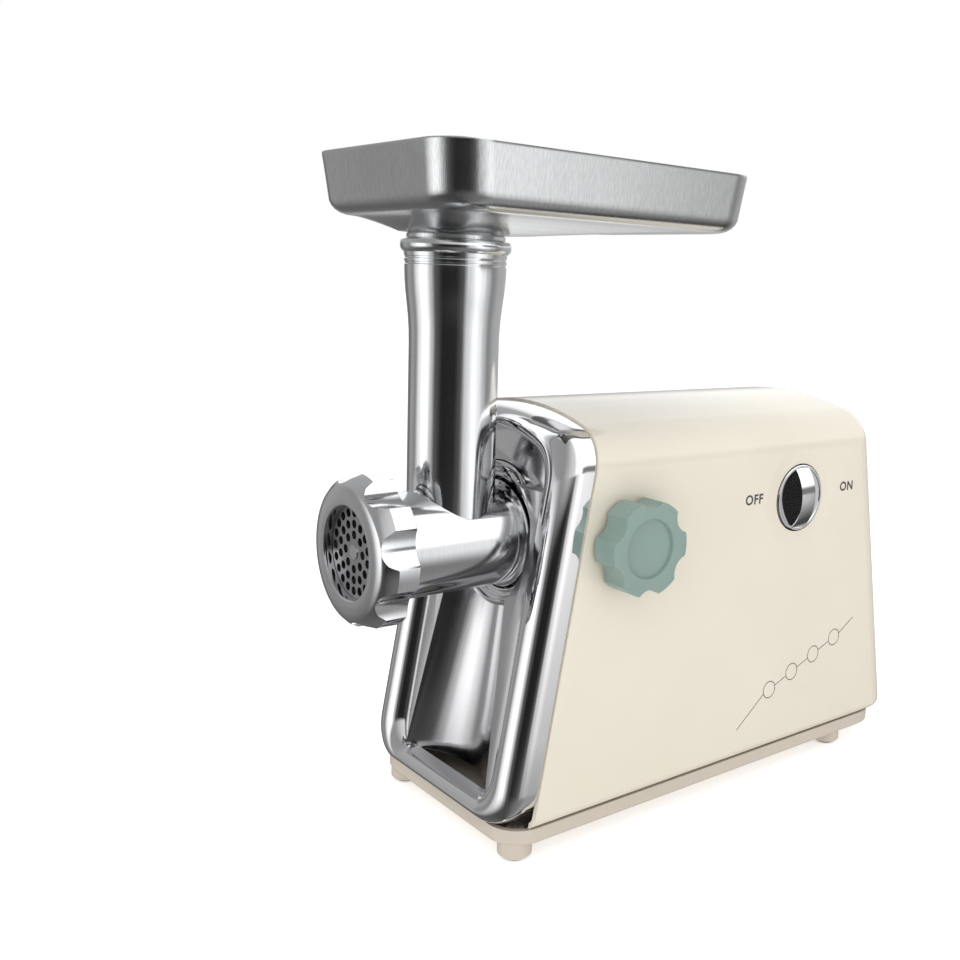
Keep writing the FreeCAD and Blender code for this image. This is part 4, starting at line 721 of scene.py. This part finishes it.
@dataclass
class Bench:
    """Modelling moves with Blender's operators, all on the active object."""

    def begin(self, name: str, first: Vector) -> bpy.types.Object:
        """Start a piece from a single point and stay in edit mode.

        Args:
            name: The piece's name.
            first: The first point, in metres.

        Returns:
            The new object.
        """
        bpy.ops.mesh.primitive_plane_add(size=0.002, location=(0.0, 0.0, 0.0))
        piece = bpy.context.object
        piece.name = name
        bpy.ops.object.mode_set(mode="EDIT")
        bpy.ops.mesh.select_all(action="SELECT")
        bpy.ops.mesh.merge(type="CENTER")
        bpy.ops.transform.translate(value=first)
        return piece

    def draw(self, points: Sequence[Vector]) -> None:
        """Pull the point through the rest of an outline.

        Args:
            points: The whole outline in metres; the first is already there.
        """
        for before, after in zip(points, points[1:]):
            bpy.ops.mesh.extrude_region_move(TRANSFORM_OT_translate={"value": after - before})

    def loop(self, name: str, points: Sequence[Vector]) -> bpy.types.Object:
        """Draw a closed outline and leave it selected in edit mode.

        Args:
            name: The piece's name.
            points: The outline in metres.

        Returns:
            The new object.
        """
        piece = self.begin(name, points[0])
        self.draw([*points, points[0]])
        bpy.ops.mesh.select_all(action="SELECT")
        bpy.ops.mesh.remove_doubles(threshold=MERGE_DISTANCE)
        return piece

    def close_up(self) -> None:
        """Merge doubled points, turn the faces outward and leave edit mode."""
        bpy.ops.mesh.select_all(action="SELECT")
        bpy.ops.mesh.remove_doubles(threshold=MERGE_DISTANCE)
        bpy.ops.mesh.normals_make_consistent(inside=False)
        bpy.ops.object.mode_set(mode="OBJECT")

    def turn(self, name: str, outline: Sequence[tuple[float, float]], spindle: Spindle,
             steps: int = 128) -> bpy.types.Object:
        """Turn a closed outline about a spindle.

        Args:
            name: The piece's name.
            outline: Closed loop of (radius, height) points in millimetres.
            spindle: The axis.
            steps: Facets round the piece.

        Returns:
            The turned piece.
        """
        points = [spindle.place(radius, height) for radius, height in outline]
        piece = self.begin(name, points[0])
        self.draw(points + points[:1])
        bpy.ops.mesh.select_all(action="SELECT")
        bpy.ops.mesh.spin(steps=steps, angle=2 * math.pi, center=at(*spindle.origin), axis=spindle.axis)
        self.close_up()
        return piece

    def smooth(self, piece: bpy.types.Object, angle: float = 30.0) -> None:
        """Shade a piece smooth up to an angle.

        Args:
            piece: The piece.
            angle: Degrees above which an edge stays crisp.
        """
        self.only(piece)
        bpy.ops.object.shade_smooth_by_angle(angle=math.radians(angle))

    def only(self, piece: bpy.types.Object) -> None:
        """Select and activate one piece.

        Args:
            piece: The piece.
        """
        bpy.ops.object.select_all(action="DESELECT")
        piece.select_set(True)
        bpy.context.view_layer.objects.active = piece

    def apply(self, piece: bpy.types.Object, kind: str, **settings: Any) -> None:
        """Add a modifier with its settings and apply it.

        Args:
            piece: The piece.
            kind: Modifier type.
            settings: Modifier properties.
        """
        self.only(piece)
        modifier = piece.modifiers.new(kind.lower(), kind)
        for key, value in settings.items():
            setattr(modifier, key, value)
        bpy.ops.object.modifier_apply(modifier=modifier.name)

    def cut(self, piece: bpy.types.Object, tool: bpy.types.Object, operation: str = "DIFFERENCE") -> None:
        """Cut a piece with a tool, and throw the tool away.

        Args:
            piece: The piece.
            tool: The cutting object.
            operation: Boolean operation.
        """
        self.apply(piece, "BOOLEAN", object=tool, operation=operation, solver="EXACT")
        bpy.data.objects.remove(tool)

    def soften(self, piece: bpy.types.Object, width: float, segments: int = 3, angle: float = 35.0) -> None:
        """Round every edge sharper than an angle.

        Args:
            piece: The piece.
            width: Width of the rounding in millimetres.
            segments: Facets across it.
            angle: Degrees from which an edge is rounded.
        """
        self.apply(piece, "BEVEL", width=width * MM, segments=segments, limit_method="ANGLE",
                   angle_limit=math.radians(angle), use_clamp_overlap=True)

    def scallops(self, spindle: Spindle, count: int, phase: float, reach: float, radius: float,
                 length: float) -> bpy.types.Object:
        """A ring of round cutters about a spindle.

        Args:
            spindle: The axis; the first cutter stands on its side direction turned by phase.
            count: Number of cutters.
            phase: Degrees.
            reach: Distance of each cutter's centre from the axis, in millimetres.
            radius: Radius of each cutter in millimetres.
            length: Length of each cutter in millimetres, centred on the origin.

        Returns:
            One object with all the cutters.
        """
        axis = Vector(spindle.axis)
        tools = []
        for index in range(count):
            angle = math.radians(phase + 360.0 / count * index)
            spot = Vector(spindle.origin) + Matrix.Rotation(angle, 3, axis) @ Vector(spindle.side) * reach
            bpy.ops.mesh.primitive_cylinder_add(vertices=96, radius=radius * MM, depth=length * MM,
                                                location=at(*spot))
            tool = bpy.context.object
            tool.rotation_euler = axis.to_track_quat("Z", "Y").to_euler()
            tools.append(tool)
        bpy.ops.object.select_all(action="DESELECT")
        for tool in tools:
            tool.select_set(True)
        bpy.context.view_layer.objects.active = tools[0]
        bpy.ops.object.join()
        return tools[0]

    def rounded_loop(self, name: str, half: tuple[float, float], corner: float, segments: int,
                     centre: Point) -> bpy.types.Object:
        """A flat rounded rectangle without a face, left in edit mode with all of it selected.

        Args:
            name: The piece's name.
            half: Half lengths along X and Y in millimetres.
            corner: Corner radius in millimetres.
            segments: Facets round each corner.
            centre: Its middle, in layout millimetres.

        Returns:
            The new object.
        """
        bpy.ops.mesh.primitive_plane_add(size=2.0 * MM, location=(0.0, 0.0, 0.0))
        piece = bpy.context.object
        piece.name = name
        bpy.ops.object.mode_set(mode="EDIT")
        bpy.ops.mesh.select_all(action="SELECT")
        bpy.ops.transform.resize(value=(half[0], half[1], 1.0), center_override=(0.0, 0.0, 0.0))
        bpy.ops.mesh.bevel(offset=corner * MM, segments=segments, affect="VERTICES", clamp_overlap=False)
        bpy.ops.mesh.select_all(action="SELECT")
        bpy.ops.transform.translate(value=at(*centre))
        bpy.ops.mesh.delete(type="ONLY_FACE")
        bpy.ops.mesh.select_all(action="SELECT")
        return piece

    def finish(self, piece: bpy.types.Object, body: str, shop: PaintShop, slot: str,
               nodes: Iterable[str] = (), angle: float = 30.0) -> None:
        """Shade, paint and mount a finished piece.

        Args:
            piece: The piece.
            body: Body that it rides on.
            shop: Source of the finishes.
            slot: The record's material slot.
            nodes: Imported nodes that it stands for.
            angle: Degrees above which an edge stays crisp.
        """
        self.smooth(piece, angle)
        shop.coat(piece, slot)
        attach(piece, body)
        if nodes:
            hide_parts(*nodes)


@dataclass
class SubAssembly:
    """Pieces that belong together, made at one bench and painted in one shop."""

    bench: Bench
    shop: PaintShop


AXIS_Z = 170.9
BARREL = Spindle((0.0, 0.0, AXIS_Z), (0.0, 1.0, 0.0), (1.0, 0.0, 0.0))
FEED_TUBE = Spindle((0.0, -146.5, 0.0), (0.0, 0.0, 1.0), (1.0, 0.0, 0.0))
KNOB = Spindle((0.0, -75.9, 175.8), (1.0, 0.0, 0.0), (0.0, 1.0, 0.0))
DIAL = Spindle((0.0, 71.5, 187.5), (1.0, 0.0, 0.0), (0.0, 1.0, 0.0))


# --- grinding head -----------------------------------------------------------------------------
@dataclass
class RingNut(SubAssembly):
    """The lobed nut on the barrel's front."""

    lobes: int = 8
    tip: float = 42.8
    valley: float = 37.6
    back: float = -190.6
    front: float = -212.2
    scallop: float = 15.5

    def build(self) -> None:
        """Turn the blank, scallop it and round its edges."""
        outline = [(31.4, self.back), (self.tip - 0.6, self.back), (self.tip, self.back - 0.6),
                   (self.tip, -203.4), (self.tip - 0.9, -205.0), (40.3, -208.3), (37.9, -210.7),
                   (36.2, -211.5), (33.0, -211.9), (29.9, self.front), (29.3, self.front),
                   (26.2, self.front), (25.5, self.front + 0.7), (25.5, -207.2), (31.4, -207.2)]
        nut = self.bench.turn("ring_nut_polished", outline, BARREL, 192)
        phase = 90.0 - 10.1 + 180.0 / self.lobes
        spindle = Spindle((0.0, -201.0, AXIS_Z), BARREL.axis, BARREL.side)
        tool = self.bench.scallops(spindle, self.lobes, -phase, self.valley + self.scallop,
                                   self.scallop, 60.0)
        self.bench.cut(nut, tool)
        self.bench.soften(nut, 1.6, 5, 20.0)
        self.bench.finish(nut, "ring_nut", self.shop, "aluminium_polished", ("ring_nut",), 24.0)


@dataclass
class GrindingHead(SubAssembly):
    """The barrel, the feed tube and the rear spigot, in one casting."""

    def build(self) -> None:
        """Turn the three and join them in one."""
        barrel = self.bench.turn("head_casting_polished", [
            (26.4, -201.6), (29.6, -201.6), (30.0, -201.2), (30.0, -190.2), (29.3, -189.8),
            (29.8, -188.6), (29.8, -116.2), (30.2, -115.4), (31.6, -114.9), (32.0, -114.3), (32.0, -109.6),
            (31.6, -109.0), (27.4, -109.0), (27.0, -108.4), (27.0, -78.0), (26.0, -77.0), (12.6, -77.0),
            (12.6, -102.5), (9.0, -102.5), (9.0, -114.0), (26.4, -114.0)], BARREL, 160)
        tube = self.bench.turn("feed_tube", [
            (0.0, AXIS_Z), (25.0, AXIS_Z), (25.0, 282.0), (25.15, 290.0), (25.7, 298.0), (26.6, 306.0),
            (27.3, 312.0), (27.7, 318.0), (27.95, 324.0), (27.95, 325.6), (27.6, 326.0), (27.6, 326.8),
            (28.0, 327.2), (28.05, 328.6), (27.7, 329.0), (27.7, 329.8), (28.1, 330.2), (28.3, 332.2),
            (29.3, 333.0), (30.1, 334.0), (30.4, 335.4), (30.4, 337.4), (30.0, 338.7), (29.0, 339.2),
            (0.0, 339.2)], FEED_TUBE, 160)
        self.bench.cut(barrel, tube, "UNION")
        bore = self.bench.turn("tube_bore", [
            (0.0, AXIS_Z - 4.0), (23.0, AXIS_Z - 4.0), (23.0, 325.2), (25.4, 325.2), (25.4, 338.4),
            (26.4, 339.4), (26.4, 342.0), (0.0, 342.0)], FEED_TUBE, 128)
        self.bench.cut(barrel, bore)
        inside = self.bench.turn("barrel_bore", [
            (0.0, -203.0), (26.4, -203.0), (26.4, -114.2), (0.0, -114.2)], BARREL, 128)
        self.bench.cut(barrel, inside)
        self.bench.finish(barrel, "head", self.shop, "aluminium_polished", ("head_casting",), 28.0)


@dataclass
class SocketRing(SubAssembly):
    """The stepped bright ring that the head goes into."""

    def build(self) -> None:
        """Turn the ring with its steps and grooves."""
        back = -100.0 - 0.18 * (225.0 - AXIS_Z) + 2.0
        steps = [(33.6, 0.0), (43.0, 0.0), (43.0, 8.9), (42.6, 9.7), (41.8, 10.0), (40.6, 10.0), (40.1, 9.6),
                 (39.8, 8.6), (39.6, 7.3), (39.2, 6.9), (37.6, 7.2), (36.9, 6.9), (36.6, 5.6), (36.1, 5.2),
                 (34.6, 5.5), (33.9, 5.1), (33.6, 4.4)]
        ring = self.bench.turn("socket_ring_plated", [(radius, back - height) for radius, height in steps],
                               BARREL, 160)
        self.bench.finish(ring, "machine", self.shop, "chrome_plate", ("socket_ring",), 24.0)


# --- tray --------------------------------------------------------------------------------------
@dataclass
class MeatTray(SubAssembly):
    """The brushed steel tray with its plain rim, its sloping floor and its neck."""

    half: tuple[float, float] = (76.0, 108.5)
    middle_y: float = -90.5
    top: float = 385.5
    corner: float = 25.0
    sheet: float = 1.0

    def build(self) -> None:
        """Draw the skin down from the rim, carry the floor to the neck and give the sheet its thickness."""
        edge = [(-0.5, -0.02), (-0.2, -0.1), (-0.03, -0.35), (0.0, -0.8)]
        wall = [(-0.2, -2.5), (-0.85, -7.0), (-1.75, -14.0), (-2.75, -22.0)]
        bend = [(10.0 * math.cos(angle) - 13.0, -24.0 - 10.0 * math.sin(angle))
                for angle in map(math.radians, range(0, 91, 15))]
        skin = edge + wall + bend
        start = skin[0]
        half = (self.half[0] + start[0], self.half[1] + start[0])
        tray = self.bench.rounded_loop("meat_tray_steel", half, self.corner, 14,
                                       (0.0, self.middle_y, self.top + start[1]))
        centre = at(0.0, self.middle_y, 0.0)
        for before, after in zip(skin, skin[1:]):
            bpy.ops.mesh.extrude_region_move(
                TRANSFORM_OT_translate={"value": (0.0, 0.0, (after[1] - before[1]) * MM)})
            bpy.ops.transform.resize(value=((self.half[0] + after[0]) / (self.half[0] + before[0]),
                                            (self.half[1] + after[0]) / (self.half[1] + before[0]), 1.0),
                                     center_override=centre)
        self._funnel()
        self.bench.close_up()
        self.bench.apply(tray, "SOLIDIFY", thickness=self.sheet * MM, offset=-1.0, use_even_offset=False)
        self.bench.finish(tray, "meat_tray", self.shop, "steel_brushed", ("meat_tray",), 32.0)

    def _funnel(self) -> None:
        """Carry the floor in to the throat in steps, turning it round on the way."""
        size = (self.half[0] - 13.2, self.half[1] - 13.2)
        outer = size
        centre_y = self.middle_y
        fallen = 0.0
        throat = 23.6
        for share in (0.1, 0.25, 0.42, 0.6, 0.78, 0.92, 1.0):
            wanted = tuple(edge + (throat - edge) * share for edge in outer)
            target_y = self.middle_y + (-146.5 - self.middle_y) * share
            fall = 9.0 * share ** 1.3
            drop = (0.0, 0.0, (fallen - fall) * MM)
            bpy.ops.mesh.extrude_region_move(TRANSFORM_OT_translate={"value": drop})
            bpy.ops.transform.resize(value=(wanted[0] / size[0], wanted[1] / size[1], 1.0),
                                     center_override=at(0.0, centre_y, 0.0))
            bpy.ops.transform.translate(value=(0.0, (target_y - centre_y) * MM, 0.0))
            bpy.ops.transform.tosphere(value=share ** 3)
            centre_y, size, fallen = target_y, wanted, fall
        self._fit_circle(throat, at(0.0, -146.5, 0.0))

    def _fit_circle(self, radius: float, centre: Vector) -> None:
        """Scale the selected loop to a radius about an upright axis.

        Args:
            radius: Wanted radius in millimetres.
            centre: A point on the axis, in metres.
        """
        piece = bpy.context.object
        bpy.ops.object.mode_set(mode="OBJECT")
        reach = [(vertex.co.xy - centre.xy).length for vertex in piece.data.vertices if vertex.select]
        bpy.ops.object.mode_set(mode="EDIT")
        factor = radius * MM * len(reach) / sum(reach)
        bpy.ops.transform.resize(value=(factor, factor, 1.0), center_override=centre)


@dataclass
class TrayNeck(SubAssembly):
    """The neck under the tray that sits in the feed tube's mouth."""

    def build(self) -> None:
        """Turn the neck with its collar."""
        neck = self.bench.turn("tray_neck", [
            (23.5, 327.0), (24.5, 327.0), (24.9, 327.6), (24.9, 339.6), (26.6, 339.6), (27.1, 340.0),
            (27.1, 341.8), (26.7, 342.3), (25.2, 343.6), (24.6, 344.4), (23.5, 343.6)], FEED_TUBE, 128)
        self.bench.finish(neck, "meat_tray", self.shop, "steel_brushed")


# --- front cover -------------------------------------------------------------------------------
@dataclass
class FrontCover(SubAssembly):
    """The raked bright cover: a half-round rim round a recessed panel with a scoop."""

    rake: float = 0.18
    edge_y: float = -100.0
    edge_z: float = 225.0
    top: float = 248.3
    bottom: float = 20.4
    half: float = 74.3
    depth: float = 20.0
    panel: float = 9.0
    step: float = 4.0

    def plane_y(self, z: float, forward: float) -> float:
        """Y of the raked plane at a height, moved forward.

        Args:
            z: Height in millimetres.
            forward: Distance in front of the shell's edge.

        Returns:
            Y in layout millimetres.
        """
        return self.edge_y - self.rake * (self.edge_z - z) - forward

    def build(self) -> None:
        """Make the rim and the panel with its scoop."""
        self._rim()
        self._panel()

    def _outline(self) -> list[tuple[float, float]]:
        """The cover seen from the front: flat sides, crowned top, round corners.

        Returns:
            Closed loop of (x, z) points in millimetres.
        """
        corner, drop, low = 24.8, 7.0, 22.0
        reach = self.half - corner
        side_z = self.top - drop - corner
        crown = (reach ** 2 + drop ** 2) / (2 * drop) + corner
        lean = math.asin(reach / (crown - corner))
        right = [(crown * math.sin(lean * step / 8), self.top - crown + crown * math.cos(lean * step / 8))
                 for step in range(9)]
        for step in range(1, 11):
            angle = lean + (math.pi / 2 - lean) * step / 10
            right.append((reach + corner * math.sin(angle), side_z + corner * math.cos(angle)))
        right += [(self.half, self.bottom + low + (side_z - self.bottom - low) * step / 6)
                  for step in range(5, -1, -1)]
        for step in range(1, 10):
            angle = math.radians(10.0 * step)
            right.append((self.half - low * (1 - math.cos(angle)), self.bottom + low * (1 - math.sin(angle))))
        right.append((0.0, self.bottom))
        left = [(-x, z) for x, z in reversed(right[1:-1])]
        return right + left

    def _rim(self) -> None:
        """Draw the outline in the raked plane and roll the rim over it ring by ring."""
        points = [at(x, self.plane_y(z, 0.4), z) for x, z in self._outline()]
        rim = self.bench.loop("front_rim", points)
        middle, tall = (self.top + self.bottom) / 2, (self.top - self.bottom) / 2
        inner, inner_middle = (48.5, 101.5), 131.5
        rings = [(0.0, 7.0)]
        for turn in range(8, 173, 8):
            angle = math.radians(turn)
            rings.append(((1 - math.cos(angle)) / 2, 7.0 + (self.depth - 7.0) * math.sin(angle) ** 0.8))
        rings += [(1.0, 8.6), (1.0, self.panel - 2.5)]
        size, height, forward = (self.half, tall), middle, 0.4
        for share, ahead in rings:
            wanted = (self.half + (inner[0] - self.half) * share, tall + (inner[1] - tall) * share)
            target = middle + (inner_middle - middle) * share
            bpy.ops.mesh.extrude_region_move(TRANSFORM_OT_translate={"value": (0.0, 0.0, 0.0)})
            grow = wanted[1] / size[1]
            bpy.ops.transform.resize(value=(wanted[0] / size[0], grow, grow),
                                     center_override=at(0.0, self.plane_y(height, forward), height))
            shift = self.plane_y(target, ahead) - self.plane_y(height, forward)
            bpy.ops.transform.translate(value=(0.0, shift * MM, (target - height) * MM))
            size, height, forward = wanted, target, ahead
        self.bench.close_up()
        self.bench.apply(rim, "SOLIDIFY", thickness=1.4 * MM, offset=-1.0)
        self.bench.finish(rim, "machine", self.shop, "chrome_plate", ("front_cover",), 50.0)

    def _panel(self) -> None:
        """Extrude the stepped panel, then cut the head's hole and the scoop."""
        step_z = AXIS_Z + 34.0
        lower = self.panel + self.step
        profile = ((233.0, self.panel), (step_z + 1.5, self.panel), (step_z, self.panel + 0.6),
                   (step_z - 1.5, lower), (29.0, lower), (29.0, -9.0), (step_z - 2.0, -9.0),
                   (step_z + 4.0, self.panel - 2.5), (233.0, self.panel - 2.5))
        points = [at(-49.6, self.plane_y(z, forward), z) for z, forward in profile]
        panel = self.bench.loop("front_panel", points)
        bpy.ops.mesh.edge_face_add()
        bpy.ops.mesh.extrude_region_move(TRANSFORM_OT_translate={"value": (99.2 * MM, 0.0, 0.0)})
        self.bench.close_up()
        hole = self.bench.turn("head_hole", [(0.0, -170.0), (43.5, -170.0), (43.5, -70.0), (0.0, -70.0)],
                               BARREL, 128)
        self.bench.cut(panel, hole)
        self.bench.cut(panel, self._scoop_tool())
        self.bench.soften(panel, 0.9, 4, 20.0)
        self.bench.finish(panel, "machine", self.shop, "panel_plate", (), 35.0)

    def _scoop_tool(self) -> bpy.types.Object:
        """The leaning cone that hollows the scoop under the barrel.

        Returns:
            The cutting object.
        """
        height = AXIS_Z - 20.0
        slope = self.rake + 0.19
        length = height * math.hypot(1.0, slope)
        start_y = self.plane_y(AXIS_Z, self.panel + self.step + 14.0)
        bpy.ops.mesh.primitive_cone_add(vertices=160, radius1=(30.0 + 0.22 * height) * MM, radius2=30.0 * MM,
                                        depth=length * MM,
                                        location=at(0.0, start_y - slope * height / 2, AXIS_Z - height / 2))
        cone = bpy.context.object
        cone.rotation_euler = Vector((0.0, slope, 1.0)).to_track_quat("Z", "Y").to_euler()
        return cone


# --- side fittings -----------------------------------------------------------------------------
@dataclass
class LockKnob(SubAssembly):
    """The scalloped knob that locks the head."""

    radius: float = 27.0
    face: float = 94.0
    back: float = 77.5

    def build(self) -> None:
        """Turn the knob, scallop it and break its edges."""
        knob = self.bench.turn("lock_knob_moulded", [
            (0.0, 88.0), (4.0, 88.0), (4.0, self.back), (self.radius, self.back), (self.radius, self.face),
            (17.5, self.face), (16.9, self.face - 0.5), (16.6, self.face - 2.2), (0.0, self.face - 2.2)],
            KNOB, 144)
        spindle = Spindle((86.0, -75.9, 175.8), KNOB.axis, KNOB.side)
        tool = self.bench.scallops(spindle, 6, 90.0, self.radius + 6.0, 10.0, 40.0)
        self.bench.cut(knob, tool)
        self.bench.soften(knob, 1.0, 4, 30.0)
        self.bench.finish(knob, "lock_knob", self.shop, "sage_plastic", ("lock_knob",), 32.0)


@dataclass
class SwitchDial(SubAssembly):
    """The bright dial with its raised grip."""

    radius: float = 21.4
    face: float = 75.7

    def build(self) -> None:
        """Turn the dial, add the bowed grip and round the edges."""
        dial = self.bench.turn("switch_dial_plated", [
            (0.0, 48.0), (3.0, 48.0), (3.0, self.face - 6.0), (self.radius, self.face - 6.0),
            (self.radius, self.face - 0.5), (self.radius - 0.5, self.face), (self.radius - 1.6, self.face),
            (self.radius - 2.2, self.face - 0.5), (12.0, self.face - 0.9), (0.0, self.face - 1.0)], DIAL, 144)
        grip = self.bench.turn("grip", [
            (0.0, -6.5), (30.0, -6.5), (30.0, 6.5), (0.0, 6.5)],
            Spindle((self.face + 7.0 - 30.0, 71.5, 187.5), (0.0, 1.0, 0.0), (1.0, 0.0, 0.0)), 144)
        shell = self.bench.turn("grip_limit", [
            (0.0, self.face - 3.0), (self.radius - 0.4, self.face - 3.0),
            (self.radius - 0.4, self.face + 12.0), (0.0, self.face + 12.0)], DIAL, 144)
        self.bench.cut(grip, shell, "INTERSECT")
        self.bench.soften(grip, 4.2, 8, 50.0)
        self.bench.cut(dial, grip, "UNION")
        self.bench.finish(dial, "switch_dial", self.shop, "chrome_plate", ("switch_dial",), 30.0)


@dataclass
class SidePrint(SubAssembly):
    """The printed marks on the switch side: two plain words and a plain line of rings."""

    face: float = 75.5

    def build(self) -> None:
        """Print the words and the ornament."""
        self._word("OFF", 19.2, 187.6, 6.1)
        self._word("ON", 112.2, 188.2, 6.1)
        self._stroke()

    def _word(self, text: str, y: float, z: float, height: float) -> None:
        """Print one word reading along +Y.

        Args:
            text: The word.
            y: Where it begins.
            z: Its base line.
            height: Letter size in millimetres.
        """
        bpy.ops.object.text_add()
        word = bpy.context.object
        word.data.body = text
        word.data.size = height * 1.4 * MM
        word.data.extrude = 0.04 * MM
        word.data.offset = 0.22 * MM
        word.data.space_character = 1.12
        bpy.ops.object.convert(target="MESH")
        self._press_on(bpy.context.object, "print_" + text.lower(), y, z)

    def _stroke(self) -> None:
        """Print a thin slanting line with four plain rings on it."""
        for name, x, y, radius in (("ring_a", 33.5, 21.0, 5.6), ("ring_b", 55.0, 29.0, 5.6),
                                   ("ring_c", 76.5, 37.0, 5.6), ("ring_d", 98.0, 45.0, 5.6)):
            bpy.ops.mesh.primitive_torus_add(major_radius=radius * MM, minor_radius=0.28 * MM,
                                             major_segments=72, minor_segments=8,
                                             location=(x * MM, y * MM, 0.0))
            ring = bpy.context.object
            ring.scale.z = 0.15
            bpy.ops.object.transform_apply(location=True, rotation=True, scale=True)
            self._press_on(ring, "print_" + name, 20.0, 40.0)
        for index, (start, end) in enumerate((((4.0, 0.0), (28.2, 19.0)), ((38.8, 23.0), (49.7, 27.0)),
                                              ((60.3, 31.0), (71.2, 35.0)), ((81.8, 39.0), (92.7, 43.0)),
                                              ((103.3, 47.0), (118.0, 56.0)))):
            first, last = Vector((*start, 0.0)), Vector((*end, 0.0))
            bpy.ops.mesh.primitive_cylinder_add(vertices=16, radius=0.28 * MM,
                                                depth=(last - first).length * MM)
            line = bpy.context.object
            line.rotation_euler = (last - first).to_track_quat("Z", "Y").to_euler()
            line.location = (first + last) / 2 * MM
            bpy.ops.object.transform_apply(location=True, rotation=True, scale=True)
            line.scale.z = 0.15
            bpy.ops.object.transform_apply(location=True, rotation=True, scale=True)
            self._press_on(line, f"print_line_{index}", 20.0, 40.0)

    def _press_on(self, mark: bpy.types.Object, name: str, y: float, z: float) -> None:
        """Stand a flat mark upright on the housing's side and finish it.

        Args:
            mark: A mesh drawn in the XY plane.
            name: The piece's name.
            y: Where its origin goes along the body.
            z: Where its origin goes up the body.
        """
        mark.name = name
        mark.matrix_world = Matrix.Translation(at(self.face + 0.02, y, z)) @ Matrix(
            ((0, 0, 1, 0), (1, 0, 0, 0), (0, 1, 0, 0), (0, 0, 0, 1)))
        self.bench.only(mark)
        bpy.ops.object.transform_apply(location=True, rotation=True, scale=True)
        self.bench.finish(mark, "machine", self.shop, "print_ink")


def assemble(shop: PaintShop) -> None:
    """Model the new pieces.

    Args:
        shop: Source of the finishes.
    """
    bench = Bench()
    for kind in (RingNut, GrindingHead, SocketRing, MeatTray, TrayNeck, FrontCover, LockKnob, SwitchDial,
                 SidePrint):
        kind(bench, shop).build()
        LOG.info("%s is built", kind.__name__)


def main() -> None:
    """Build the whole scene in order."""
    logging.basicConfig(level=logging.INFO, format="%(name)s: %(message)s")
    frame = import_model()
    bpy.ops.object.select_all(action="DESELECT")
    shop = PaintShop()
    shop.coat_carried(frame)
    assemble(shop)
    Studio().build()


if __name__ == "__main__":
    main()
